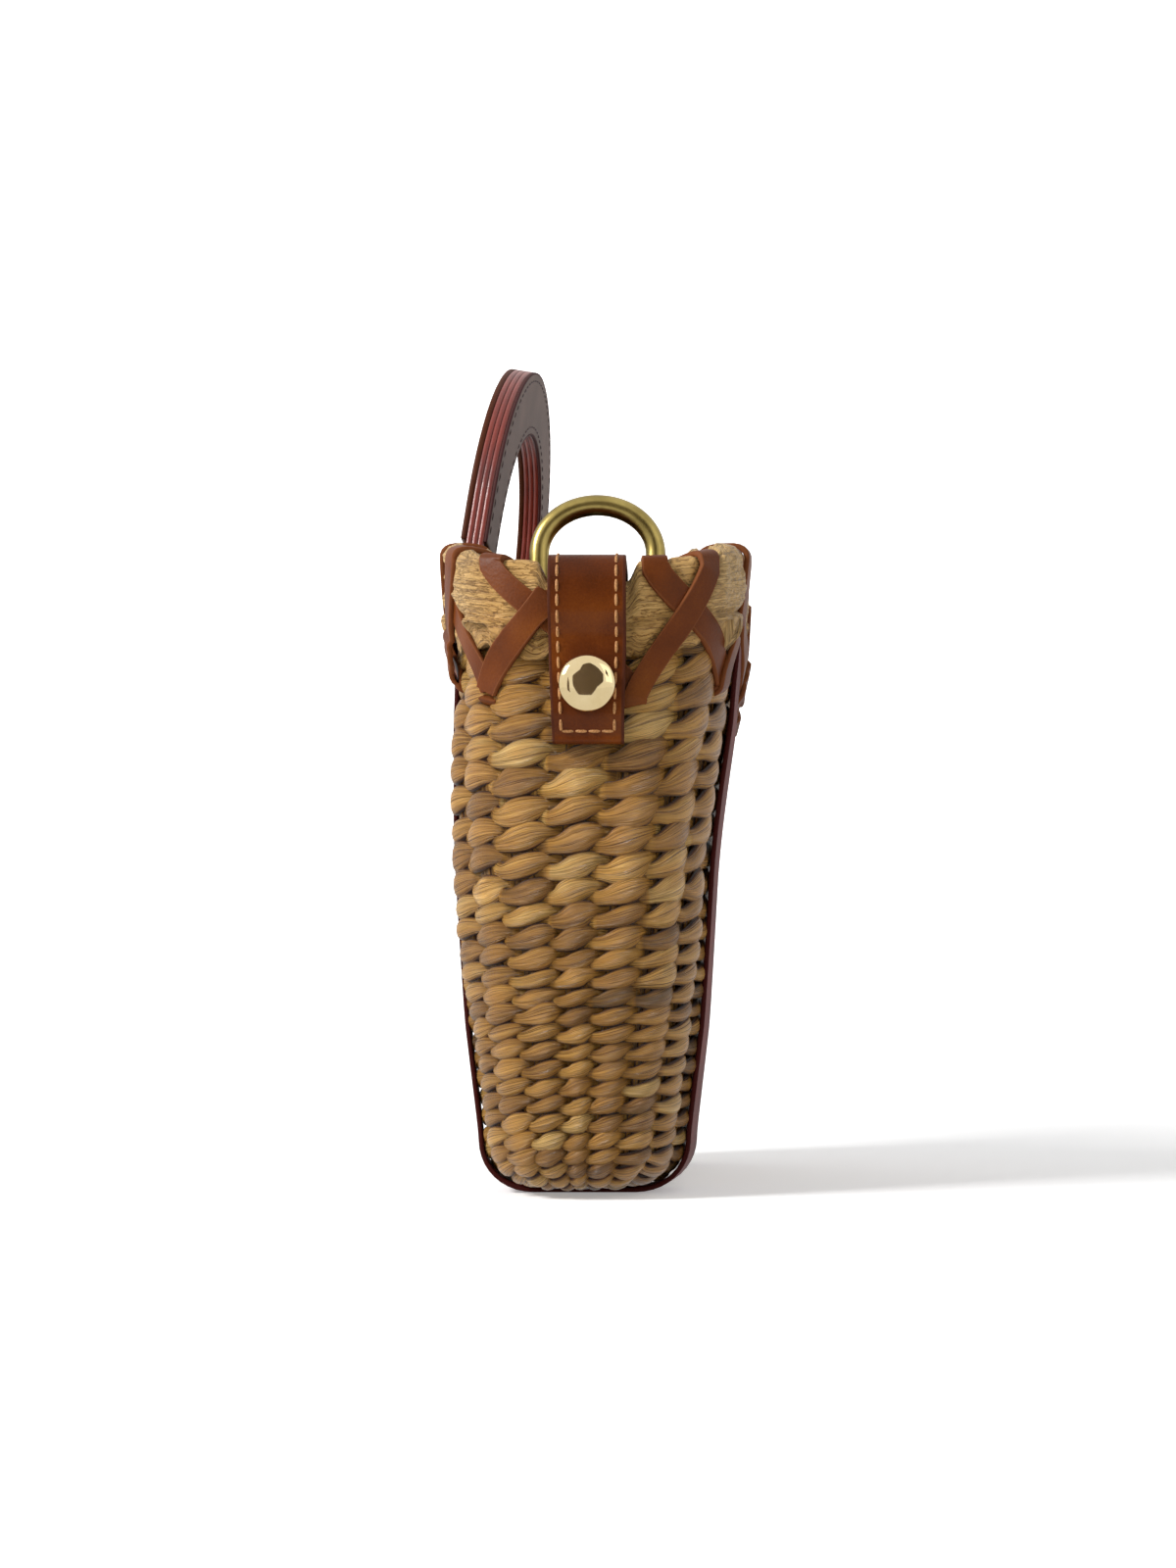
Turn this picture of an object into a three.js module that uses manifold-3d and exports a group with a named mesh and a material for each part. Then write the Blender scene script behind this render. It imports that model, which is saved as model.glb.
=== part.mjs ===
// Small top-handle basket of twined water hyacinth, laced and strapped with leather.
// Millimetres, +Z up. X runs along the basket, the front wall faces -Y, the near end faces +X.
// The origin lies on the ground under the middle of the basket.

import * as THREE from 'three';
import { mergeVertices } from 'three/addons/utils/BufferGeometryUtils.js';
import Module from 'manifold-3d';

const wasm = await Module();
wasm.setup();

// Clearance between pieces that touch on the real basket
const GAP = 0.3;

// Woven body
const BODY_HALF_LENGTH = 96.6;
const BODY_HALF_WIDTH = 31.5;
const WALL_FLARE = 0.069;
const FOOT_HEIGHT = 50;
const FOOT_DRAW_IN = 0.045;
const PLAN_POWER_TOP = 4;
const PLAN_POWER_BASE = 3.4;
const WALL_THICKNESS = 7.5;
const FLOOR_THICKNESS = 8;
const BASE_CORNER_RADIUS = 12;
const FLOOR_CORNER_RADIUS = 7;

// Twined courses: finer round the foot than under the rim, with a furrow between neighbours
const COURSE_HEIGHT_FOOT = 4.9;
const COURSE_HEIGHT_TOP = 7.4;
const COURSE_CHANGE_START = 48;
const COURSE_CHANGE_END = 98;
const FURROW_SHARE = 0.36;

// Rim line: low over the ends, high over the long walls, pressed down under each tab
const RIM_HEIGHT_END = 172;
const RIM_HEIGHT_SIDE = 186;
const RIM_RISE_START = 14;
const RIM_RISE_END = 75;
const RIM_DIP_SPAN = 3.5;

// Folded leaf band over the rim
const BAND_PROUD = 0.4;
const BAND_OUTER_DROP = 25.4;
const BAND_INNER_DROP = 20;
const BAND_OUTER_THICKNESS = 3.7;
const BAND_INNER_THICKNESS = 2.2;
const BAND_TOP_THICKNESS = 3.6;
const BAND_EDGE_DROP = 3;
const BAND_EDGE_EASE = 0.9;

// Flat lace round the rim
const LACE_WIDTH = 6.8;
const LACE_THICKNESS = 1.4;
const LACE_DEPTH = 36;
const LACE_OVER_SHARE = 0.52;
const LACE_UNDER_SHARE = 0.92;
const LACE_CLEAR_OF_HANDLE = 15;
const LACE_HOLE_WIDTH = 8.6;
const LACE_HOLE_FIRST_SHARE = -0.1103;
const LACE_HOLE_PITCH_SHARES = [0.1648, 0.1332, 0.1692, 0.1435, 0.1453, 0.1343];
const LACE_BEND_DEPTH = 3;
const LACE_CROSSING_GAP = 0.65;
const LACE_BAND_GAP = 0.4;
const LACE_LEAD = 0.12;
const LACE_FADE = 4;
const LACE_EASE = 0.35;
const LACE_RUN_STEPS = 8;
const LACE_TURN_STEPS = 5;
const LACE_INNER_STEPS = 5;

// Straps that carry the handles
const STRAP_THICKNESS = 1.5;
const STRAP_CORNER_RADIUS = 8;
const ANCHOR_THICKNESS = 1.2;
const ANCHOR_DROP = 42;

// Handle: leather layers from the outside in, bending in the leather at the front rim
const HANDLE_HALF_SPAN = 67.5;
const HANDLE_LEG_WIDTH = 20;
const HANDLE_LEG_HEIGHT = 9;
const HANDLE_ARCH_HEIGHT = 63.7;
const HANDLE_CROWN_WIDTH = 18.5;
const HANDLE_OUTER_THICKNESS = 1.5;
const HANDLE_CORE_THICKNESS = 1.4;
const HANDLE_LINING_THICKNESS = 0.7;
const HANDLE_BEND_INSET = 7.8;
const HANDLE_LEAN = 9.2;

// End tabs with dome studs and D rings
const TAB_WIDTH = 20.5;
const TAB_DROP = 48.6;
const TAB_LAYER = 1.4;
const TAB_LIFT_START = 1;
const TAB_LIFT_END = 7;
const TAB_CROSSING_DROP = 22;
const TAB_CROSSING_RISE = 7;
const TAB_WRAP_START = 0.42;
const STUD_DROP = 34.3;
const STUD_RADIUS = 7.5;
const STUD_DOME_HEIGHT = 2.6;
const STUD_RIM_HEIGHT = 0.7;
const STUD_POST_RADIUS = 2;
const STUD_BACK_RADIUS = 4.5;
const STUD_BACK_THICKNESS = 1.6;
const POST_HOLE_LENGTH = 60;
const RING_WIRE_RADIUS = 2.75;
const RING_HALF_WIDTH = 16.1;
const RING_LEG_HEIGHT = 13.5;
const RING_ARCH_HEIGHT = 13.5;
const RING_CORNER_RADIUS = 4;
const RING_BAR_DROP = 7;
const RING_SIDE_SHIFT = 1.6;

// Sizes that follow from the ones above
const BASE_HEIGHT = STRAP_THICKNESS + GAP;
const FLOOR_HEIGHT = BASE_HEIGHT + FLOOR_THICKNESS;
const LACE_STEP = LACE_THICKNESS + LACE_CROSSING_GAP;
const STRAP_STEP = STRAP_THICKNESS + GAP;
const TAB_STACK = 2 * TAB_LAYER + GAP;
const BAND_UNDERSIDE = BAND_PROUD - BAND_OUTER_THICKNESS;
const RECESS = BAND_UNDERSIDE - GAP;
const BAND_INNER_FACE = -WALL_THICKNESS - GAP - BAND_INNER_THICKNESS;
const RIM_DIP = TAB_STACK + LACE_BAND_GAP + LACE_STEP;
const HANDLE_STACK = HANDLE_OUTER_THICKNESS + 3 * HANDLE_CORE_THICKNESS + HANDLE_LINING_THICKNESS + 4 * GAP;
const HANDLE_FOOT_RADIUS = HANDLE_STACK / 2;
const HANDLE_LEG_CENTRE = HANDLE_HALF_SPAN - HANDLE_LEG_WIDTH / 2;
const STRAP_INNER_EDGE = HANDLE_HALF_SPAN - HANDLE_LEG_WIDTH;

const smooth = (from, to, value) => THREE.MathUtils.smoothstep(value, from, to);
const mix = THREE.MathUtils.lerp;

// Plan of the body: a rounded oblong that flares upward

function taper(z) {
  return WALL_FLARE * z - FOOT_DRAW_IN * Math.max(0, FOOT_HEIGHT - z);
}

function planPower(z) {
  return mix(PLAN_POWER_BASE, PLAN_POWER_TOP, THREE.MathUtils.clamp(z / RIM_HEIGHT_END, 0, 1));
}

function planPoint(angle, z, inset = 0) {
  const power = 2 / planPower(z);
  const halfLength = BODY_HALF_LENGTH + taper(z) - inset;
  const halfWidth = BODY_HALF_WIDTH + taper(z) - inset;
  const c = Math.cos(angle);
  const s = Math.sin(angle);
  const x = Math.sign(c) * halfLength * Math.abs(c) ** power;
  const y = Math.sign(s) * halfWidth * Math.abs(s) ** power;
  return new THREE.Vector2(x, y);
}

function planNormal(angle, z) {
  const power = planPower(z);
  const p = planPoint(angle, z);
  const halfLength = BODY_HALF_LENGTH + taper(z);
  const halfWidth = BODY_HALF_WIDTH + taper(z);
  const nx = Math.sign(p.x) * Math.abs(p.x / halfLength) ** (power - 1) / halfLength;
  const ny = Math.sign(p.y) * Math.abs(p.y / halfWidth) ** (power - 1) / halfWidth;
  return new THREE.Vector2(nx, ny).normalize();
}

function wallPoint(angle, z, out) {
  const p = planPoint(angle, z);
  const n = planNormal(angle, z);
  return new THREE.Vector3(p.x + n.x * out, p.y + n.y * out, z);
}

// Distance round the rim, measured from the middle of the near end toward +Y
const RIM_TABLE_STEPS = 4000;
const rimTable = buildRimTable();
const RIM_LENGTH = rimTable[RIM_TABLE_STEPS];

function buildRimTable() {
  const table = [0];
  let last = planPoint(0, RIM_HEIGHT_END);
  for (let i = 1; i <= RIM_TABLE_STEPS; i += 1) {
    const next = planPoint((i / RIM_TABLE_STEPS) * 2 * Math.PI, RIM_HEIGHT_END);
    table.push(table[i - 1] + next.distanceTo(last));
    last = next;
  }
  return table;
}

function rimAngle(distance) {
  const wanted = THREE.MathUtils.euclideanModulo(distance, RIM_LENGTH);
  let low = 0;
  let high = RIM_TABLE_STEPS;
  while (high - low > 1) {
    const middle = (low + high) >> 1;
    if (rimTable[middle] <= wanted) {
      low = middle;
    } else {
      high = middle;
    }
  }
  const part = (wanted - rimTable[low]) / (rimTable[high] - rimTable[low]);
  return ((low + part) / RIM_TABLE_STEPS) * 2 * Math.PI;
}

function distanceToEnd(distance) {
  const half = RIM_LENGTH / 2;
  const along = THREE.MathUtils.euclideanModulo(distance, half);
  return Math.min(along, half - along);
}

function rimTop(distance) {
  const rise = RIM_HEIGHT_SIDE - RIM_HEIGHT_END;
  return RIM_HEIGHT_END + rise * smooth(RIM_RISE_START, RIM_RISE_END, distanceToEnd(distance));
}

// Height at a drop below the rim line, with the rim pressed down under a tab
function rimHeight(distance, drop) {
  const tabEdge = TAB_WIDTH / 2 + GAP;
  const underTab = 1 - smooth(tabEdge, tabEdge + RIM_DIP_SPAN, distanceToEnd(distance));
  const nearTop = 1 - smooth(BAND_EDGE_DROP, BAND_INNER_DROP, -drop);
  return rimTop(distance) + drop - RIM_DIP * underTab * nearTop;
}

// Where a handle leg stands, as a distance round the rim
const LEG_DISTANCE = findLegDistance();
const LEG_RIM_TOP = rimTop(LEG_DISTANCE);

function findLegDistance() {
  const step = 0.05;
  let distance = 0;
  while (planPoint(rimAngle(distance), RIM_HEIGHT_END).x > HANDLE_LEG_CENTRE) {
    distance += step;
  }
  return distance;
}

function distanceToLeg(distance) {
  return Math.abs(distanceToEnd(distance) - LEG_DISTANCE);
}

// Half width of the wall at a place along the basket
function wallFace(x, z) {
  const power = planPower(z);
  const halfLength = BODY_HALF_LENGTH + taper(z);
  const halfWidth = BODY_HALF_WIDTH + taper(z);
  return halfWidth * (1 - Math.abs(x / halfLength) ** power) ** (1 / power);
}

function endFace(z) {
  return BODY_HALF_LENGTH + taper(z);
}

// Solids from rings of points, and cuts between solids

function ringSolid(rings, closed = false) {
  const count = rings[0].length;
  const positions = [];
  for (const ring of rings) {
    for (const p of ring) {
      positions.push(p.x, p.y, p.z);
    }
  }
  const faces = [];
  const bands = closed ? rings.length : rings.length - 1;
  for (let i = 0; i < bands; i += 1) {
    const a = i * count;
    const b = ((i + 1) % rings.length) * count;
    for (let j = 0; j < count; j += 1) {
      const k = (j + 1) % count;
      faces.push([a + j, a + k, b + k], [a + j, b + k, b + j]);
    }
  }
  if (!closed) {
    closeEnd(rings[0], 0, positions, faces, true);
    closeEnd(rings[rings.length - 1], (rings.length - 1) * count, positions, faces, false);
  }
  return facesToGeometry(positions, faces);
}

function closeEnd(ring, first, positions, faces, flip) {
  const centre = new THREE.Vector3();
  for (const p of ring) {
    centre.addScaledVector(p, 1 / ring.length);
  }
  const hub = positions.length / 3;
  positions.push(centre.x, centre.y, centre.z);
  for (let j = 0; j < ring.length; j += 1) {
    const k = (j + 1) % ring.length;
    faces.push(flip ? [hub, first + k, first + j] : [hub, first + j, first + k]);
  }
}

function facesToGeometry(positions, faces) {
  let volume = 0;
  const point = (i) => new THREE.Vector3(positions[3 * i], positions[3 * i + 1], positions[3 * i + 2]);
  for (const [a, b, c] of faces) {
    volume += point(a).dot(point(b).cross(point(c)));
  }
  const turned = volume < 0 ? faces.map(([a, b, c]) => [a, c, b]) : faces;
  const geometry = new THREE.BufferGeometry();
  geometry.setAttribute('position', new THREE.Float32BufferAttribute(positions, 3));
  geometry.setIndex(turned.flat());
  return geometry;
}

function toManifold(geometry) {
  const bare = geometry.clone();
  bare.deleteAttribute('normal');
  bare.deleteAttribute('uv');
  const merged = mergeVertices(bare);
  const vertProperties = new Float32Array(merged.attributes.position.array);
  const triVerts = new Uint32Array(merged.index.array);
  return new wasm.Manifold(new wasm.Mesh({ numProp: 3, vertProperties, triVerts }));
}

function fromManifold(solid) {
  const mesh = solid.getMesh();
  const geometry = new THREE.BufferGeometry();
  geometry.setAttribute('position', new THREE.Float32BufferAttribute(mesh.vertProperties, 3));
  geometry.setIndex(Array.from(mesh.triVerts));
  return geometry;
}

function cutBy(geometry, cutters) {
  let solid = toManifold(geometry);
  for (const cutter of cutters) {
    solid = solid.subtract(toManifold(cutter));
  }
  return fromManifold(solid);
}

// Places round the rim where the body and the band are sampled, closest beside the tabs
function rimStations() {
  const quarter = RIM_LENGTH / 4;
  const tabEdge = TAB_WIDTH / 2 + GAP;
  const marks = [
    ...spread(0, tabEdge, 2),
    ...spread(tabEdge, tabEdge + RIM_DIP_SPAN, 2),
    ...spread(tabEdge + RIM_DIP_SPAN, RIM_RISE_END, 11),
    ...spread(RIM_RISE_END, quarter, 3),
  ];
  const mirrored = marks.slice(1).map((mark) => 2 * quarter - mark).reverse();
  const half = [...marks, quarter, ...mirrored];
  return [...half, ...half.map((mark) => mark + RIM_LENGTH / 2)];
}

// Evenly spaced values from a start, without the end
function spread(from, to, count) {
  return Array.from({ length: count }, (_, i) => mix(from, to, i / count));
}

const STATIONS = rimStations();

// Woven body

function bodyRing(out, heightAt, inset = 0) {
  return STATIONS.map((distance) => {
    const angle = rimAngle(distance);
    const z = heightAt(distance);
    if (inset > 0) {
      const p = planPoint(angle, z, inset);
      return new THREE.Vector3(p.x, p.y, z);
    }
    return wallPoint(angle, z, out);
  });
}

// Places up the wall as shares of its height at the ends: a furrow and a crest for each course
function courseShares() {
  const low = BASE_HEIGHT + BASE_CORNER_RADIUS;
  const wall = RIM_HEIGHT_END - BAND_OUTER_DROP - low;
  const places = [];
  let z = low;
  while (z < low + wall - COURSE_HEIGHT_TOP) {
    const height = mix(COURSE_HEIGHT_FOOT, COURSE_HEIGHT_TOP, smooth(COURSE_CHANGE_START, COURSE_CHANGE_END, z));
    places.push([(z - low) / wall, -FURROW_SHARE * height]);
    places.push([(z + height / 2 - low) / wall, 0]);
    z += height;
  }
  return places;
}

function bodyRings() {
  const rings = [];
  const cornerSteps = 4;
  for (let i = 0; i < cornerSteps; i += 1) {
    const turn = (i / cornerSteps) * (Math.PI / 2);
    const z = BASE_HEIGHT + BASE_CORNER_RADIUS * (1 - Math.cos(turn));
    rings.push(bodyRing(0, () => z, BASE_CORNER_RADIUS * (1 - Math.sin(turn))));
  }
  const cornerTop = BASE_HEIGHT + BASE_CORNER_RADIUS;
  const shoulder = (d) => rimTop(d) - BAND_OUTER_DROP;
  for (const [share, out] of courseShares()) {
    rings.push(bodyRing(out, (d) => mix(cornerTop, shoulder(d), share)));
  }
  rings.push(bodyRing(0, shoulder));
  const wallTop = (d) => rimHeight(d, -BAND_TOP_THICKNESS - GAP);
  rings.push(bodyRing(RECESS, (d) => shoulder(d) - RECESS));
  rings.push(bodyRing(RECESS, wallTop));
  rings.push(bodyRing(-WALL_THICKNESS, wallTop));
  const floorTop = FLOOR_HEIGHT + FLOOR_CORNER_RADIUS;
  const innerSteps = 4;
  for (let i = 1; i <= innerSteps; i += 1) {
    rings.push(bodyRing(-WALL_THICKNESS, (d) => mix(wallTop(d), floorTop, i / innerSteps)));
  }
  for (let i = 1; i <= 2; i += 1) {
    const turn = (i / 2) * (Math.PI / 2);
    const z = floorTop - FLOOR_CORNER_RADIUS * Math.sin(turn);
    const out = -WALL_THICKNESS - FLOOR_CORNER_RADIUS * (1 - Math.cos(turn));
    rings.push(bodyRing(out, () => z));
  }
  return rings;
}

// A slot through the wall for both laces, cut along the rim line
function laceHole(distance) {
  const top = GAP - LACE_DEPTH;
  const bottom = -LACE_DEPTH - LACE_BEND_DEPTH - 2 * LACE_STEP - GAP;
  const reach = 2 * WALL_THICKNESS;
  const edge = (side) => {
    const at = distance + (side * LACE_HOLE_WIDTH) / 2;
    const corner = (drop, out) => wallPoint(rimAngle(at), rimHeight(at, drop), out);
    return [corner(bottom, -reach), corner(bottom, reach), corner(top, reach), corner(top, -reach)];
  };
  return ringSolid([edge(-1), edge(0), edge(1)]);
}

function postHole(endSign) {
  const radius = STUD_POST_RADIUS + GAP;
  const geometry = new THREE.CylinderGeometry(radius, radius, POST_HOLE_LENGTH, 16);
  geometry.rotateZ(Math.PI / 2);
  const seat = studSeat();
  geometry.applyMatrix4(new THREE.Matrix4().makeRotationY(seat.tilt));
  geometry.translate(seat.x, 0, seat.z);
  if (endSign < 0) {
    geometry.rotateZ(Math.PI);
  }
  return geometry;
}

function basketShell() {
  const cutters = laceHoleDistances().map(laceHole);
  cutters.push(postHole(1), postHole(-1));
  return cutBy(ringSolid(bodyRings()), cutters);
}

// Leaf band folded over the rim

function bandProfile() {
  const leafInside = -WALL_THICKNESS - GAP;
  const outerFoot = -BAND_OUTER_DROP + GAP * Math.SQRT2;
  return [
    [BAND_PROUD, outerFoot - BAND_PROUD],
    [BAND_PROUD, -BAND_EDGE_DROP],
    [BAND_PROUD - BAND_EDGE_EASE, -BAND_EDGE_EASE],
    [BAND_PROUD - BAND_EDGE_DROP, 0],
    [BAND_INNER_FACE + BAND_EDGE_DROP, 0],
    [BAND_INNER_FACE + BAND_EDGE_EASE, -BAND_EDGE_EASE],
    [BAND_INNER_FACE, -BAND_EDGE_DROP],
    [BAND_INNER_FACE, -BAND_INNER_DROP],
    [leafInside, -BAND_INNER_DROP],
    [leafInside, -BAND_TOP_THICKNESS],
    [BAND_UNDERSIDE, -BAND_TOP_THICKNESS],
    [BAND_UNDERSIDE, outerFoot - BAND_UNDERSIDE],
  ];
}

function rimWrap() {
  const profile = bandProfile();
  const rings = STATIONS.map((distance) => {
    const angle = rimAngle(distance);
    return profile.map(([out, drop]) => wallPoint(angle, rimHeight(distance, drop), out));
  });
  const cutters = [];
  for (const endSign of [1, -1]) {
    cutters.push(strapSolid(endSign, GAP));
    for (const wallSign of [1, -1]) {
      cutters.push(anchorSolid(endSign, wallSign, GAP));
    }
  }
  return cutBy(ringSolid(rings, true), cutters);
}

// Straps: from the handle's foot down the front wall, under the base and up inside the back rim

function strapTop(wallSign) {
  return wallSign < 0 ? LEG_RIM_TOP + GAP : LEG_RIM_TOP - BAND_TOP_THICKNESS - GAP;
}

function strapWallPath(wallSign) {
  const path = [];
  const top = LEG_RIM_TOP;
  const chamfer = -BAND_OUTER_DROP + GAP * Math.SQRT2;
  path.push([BAND_UNDERSIDE, strapTop(wallSign)]);
  path.push([BAND_UNDERSIDE, top - BAND_OUTER_DROP / 2]);
  path.push([BAND_UNDERSIDE, top + chamfer - BAND_UNDERSIDE]);
  path.push([GAP, top + chamfer - GAP]);
  const start = top + chamfer - GAP;
  const end = STRAP_CORNER_RADIUS + BASE_CORNER_RADIUS;
  const steps = 15;
  for (let i = 1; i <= steps; i += 1) {
    path.push([GAP, mix(start, end, i / steps)]);
  }
  return path;
}

function strapEdge(x, wallSign, grow) {
  const inner = strapWallPath(wallSign).map(([out, z]) => {
    return new THREE.Vector2(wallSign * (wallFace(x, z) + out), z);
  });
  const last = inner[inner.length - 1];
  const before = inner[inner.length - 2];
  const slope = (last.x - before.x) / (last.y - before.y);
  const steps = 5;
  const low = STRAP_THICKNESS;
  const reach = STRAP_CORNER_RADIUS;
  const footX = last.x - slope * (last.y - low - reach);
  const hub = new THREE.Vector2(footX - wallSign * reach, low + reach);
  for (let i = 0; i <= steps; i += 1) {
    const turn = (i / steps) * (Math.PI / 2);
    const y = hub.x + wallSign * reach * Math.cos(turn);
    inner.push(new THREE.Vector2(y, hub.y - reach * Math.sin(turn)));
  }
  return stripEdges(inner, STRAP_THICKNESS, grow, wallSign);
}

// Inner and outer edges of a strip that follows a line
function stripEdges(line, thickness, grow, side) {
  return line.map((p, i) => {
    const a = line[Math.max(0, i - 1)];
    const b = line[Math.min(line.length - 1, i + 1)];
    const along = b.clone().sub(a).normalize();
    const normal = new THREE.Vector2(-along.y, along.x).multiplyScalar(side);
    const ends = i === 0 ? -grow : 0;
    const base = p.clone().addScaledVector(along, ends);
    return {
      inner: base.clone().addScaledVector(normal, -grow),
      outer: base.clone().addScaledVector(normal, thickness + grow),
    };
  });
}

function strapSolid(endSign, grow = 0) {
  const edges = [STRAP_INNER_EDGE - grow, HANDLE_HALF_SPAN + grow];
  const rings = [];
  const walls = [-1, 1].map((wallSign) => edges.map((x) => strapEdge(x, wallSign, grow)));
  const addRing = (wall, i) => {
    const corner = (edge, x, key) => new THREE.Vector3(endSign * x, edge[i][key].x, edge[i][key].y);
    rings.push([
      corner(wall[0], edges[0], 'inner'),
      corner(wall[1], edges[1], 'inner'),
      corner(wall[1], edges[1], 'outer'),
      corner(wall[0], edges[0], 'outer'),
    ]);
  };
  const count = walls[0][0].length;
  for (let i = 0; i < count; i += 1) {
    addRing(walls[0], i);
  }
  for (let i = count - 1; i >= 0; i -= 1) {
    addRing(walls[1], i);
  }
  return ringSolid(rings);
}

// Lining tongues inside the wall, sewn to the strap ends through the weave
function anchorSolid(endSign, wallSign, grow = 0) {
  const top = strapTop(wallSign) + grow;
  const low = LEG_RIM_TOP - ANCHOR_DROP;
  const face = -WALL_THICKNESS - GAP + grow;
  const back = -WALL_THICKNESS - GAP - ANCHOR_THICKNESS - grow;
  const rings = [];
  const steps = 5;
  for (let i = 0; i <= steps; i += 1) {
    const z = mix(top, low, i / steps);
    const corner = (x, out) => new THREE.Vector3(endSign * x, wallSign * (wallFace(x, z) + out), z);
    const inside = STRAP_INNER_EDGE - grow;
    const outside = HANDLE_HALF_SPAN + grow;
    rings.push([corner(inside, face), corner(outside, face), corner(outside, back), corner(inside, back)]);
  }
  return ringSolid(rings);
}

// Laces: each one unbroken flat ribbon that winds round the rim through the wall

function laceHoleDistances() {
  const halfRim = RIM_LENGTH / 2;
  const half = [LACE_HOLE_FIRST_SHARE * halfRim];
  for (const share of LACE_HOLE_PITCH_SHARES) {
    half.push(half[half.length - 1] + share * halfRim);
  }
  return [...half, ...half.map((d) => d + halfRim)];
}

// A lace that would meet a handle leg goes over the rim beside it
function besideHandle(distance) {
  const half = RIM_LENGTH / 2;
  const base = Math.floor(distance / half) * half;
  for (const leg of [base + LEG_DISTANCE, base + half - LEG_DISTANCE]) {
    if (Math.abs(distance - leg) < LACE_CLEAR_OF_HANDLE) {
      return leg + Math.sign(distance - leg || 1) * LACE_CLEAR_OF_HANDLE;
    }
  }
  return distance;
}

// Between two neighbouring holes each lace makes one wrap, the two in opposite directions
function lacePitches() {
  const holes = laceHoleDistances();
  return holes.map((here, i) => {
    const next = i + 1 < holes.length ? holes[i + 1] : holes[0] + RIM_LENGTH;
    const overTop = besideHandle(here + LACE_OVER_SHARE * (next - here));
    const underTop = besideHandle(next - LACE_UNDER_SHARE * (next - here));
    return {
      over: { start: here, top: overTop, end: next },
      under: { start: next, top: underTop, end: here },
    };
  });
}

// Share of the sideways run made at a share of the climb, gentle at both ends
function laceEase(t) {
  return mix(t, smooth(0, 1, t), LACE_EASE);
}

function laceOutside(wrap, climb) {
  return mix(wrap.start, wrap.top, laceEase(climb));
}

function laceInside(wrap, climb) {
  return mix(wrap.end, wrap.top, laceEase(climb));
}

// The loop across the rim: up the outside, over the top, down the inside, back through the wall
const LOOP_OUT = BAND_PROUD + LACE_BAND_GAP;
const LOOP_IN = BAND_INNER_FACE - LACE_BAND_GAP;
const LOOP_RUN = LACE_DEPTH - BAND_EDGE_DROP;
const LOOP_TURN = LOOP_OUT - LOOP_IN + BAND_EDGE_DROP;
const LOOP_LENGTH = 2 * LOOP_RUN + 2 * LOOP_TURN;
const LOOP_ROUNDNESS = 0.7;

// Distance out from the wall and drop from the rim line, at a length along the loop and a height over it
function loopPoint(length, height) {
  const at = THREE.MathUtils.euclideanModulo(length, LOOP_LENGTH);
  const outside = LOOP_OUT + height;
  const inside = LOOP_IN - height;
  if (at < LOOP_RUN) {
    return [outside, at - LACE_DEPTH];
  }
  const middle = (outside + inside) / 2;
  const reach = (outside - inside) / 2;
  const pastTop = at - LOOP_RUN;
  if (pastTop < LOOP_TURN) {
    const [flat, rise] = roundTurn(pastTop / LOOP_TURN);
    return [middle + reach * flat, -BAND_EDGE_DROP + (BAND_EDGE_DROP + LACE_BAND_GAP + height) * rise];
  }
  const pastInside = pastTop - LOOP_TURN;
  if (pastInside < LOOP_RUN) {
    return [inside, -BAND_EDGE_DROP - pastInside];
  }
  const [flat, rise] = roundTurn((pastInside - LOOP_RUN) / LOOP_TURN);
  return [middle - reach * flat, -LACE_DEPTH - (LACE_BEND_DEPTH + height) * rise];
}

function roundTurn(share) {
  const c = Math.cos(share * Math.PI);
  const s = Math.sin(share * Math.PI);
  return [Math.sign(c) * Math.abs(c) ** LOOP_ROUNDNESS, Math.abs(s) ** LOOP_ROUNDNESS];
}

function lacePlace(distance, length, height) {
  const [out, drop] = loopPoint(length, height);
  return wallPoint(rimAngle(distance), rimHeight(distance, drop), out);
}

// How close the upper lace comes to a lower one: 1 where they meet, 0 where they lie side by side
function laceCloseness(distance, slope, otherDistance, otherSlope) {
  const spreadOf = (k) => (LACE_WIDTH / 2) * Math.hypot(1, k);
  const need = spreadOf(slope) + spreadOf(otherSlope) + LACE_CROSSING_GAP;
  return 1 - smooth(need, need + LACE_FADE, Math.abs(distance - otherDistance));
}

function laceSlope(place, wrap, climb) {
  const step = 0.01;
  return (place(wrap, climb + step) - place(wrap, climb - step)) / (2 * step * LOOP_RUN);
}

// Lift that carries the upper lace over the lower ones beside it, begun a little early
function liftOverLower(pitches, index, place, climb) {
  const near = [climb - LACE_LEAD, climb, climb + LACE_LEAD].map((c) => THREE.MathUtils.clamp(c, 0, 1));
  return Math.max(...near.map((c) => liftAtCrossing(pitches, index, place, c)));
}

function liftAtCrossing(pitches, index, place, climb) {
  const own = pitches[index].over;
  const count = pitches.length;
  const lifts = [-1, 0, 1].map((shift) => {
    const other = pitches[(index + shift + count) % count].under;
    const round = RIM_LENGTH * Math.round((own.top - other.top) / RIM_LENGTH);
    const otherDistance = place(other, climb);
    const closeness = laceCloseness(
      place(own, climb),
      laceSlope(place, own, climb),
      otherDistance + round,
      laceSlope(place, other, climb),
    );
    const under = place === laceOutside ? strapLift(otherDistance) : 0;
    return closeness * (LACE_STEP + under);
  });
  return Math.max(...lifts);
}

// Both laces are lifted where a strap lies under them
function strapLift(distance) {
  const near = HANDLE_LEG_WIDTH / 2 + LACE_WIDTH / 2;
  return STRAP_STEP * (1 - smooth(near, near + LACE_FADE, distanceToLeg(distance)));
}

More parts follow.
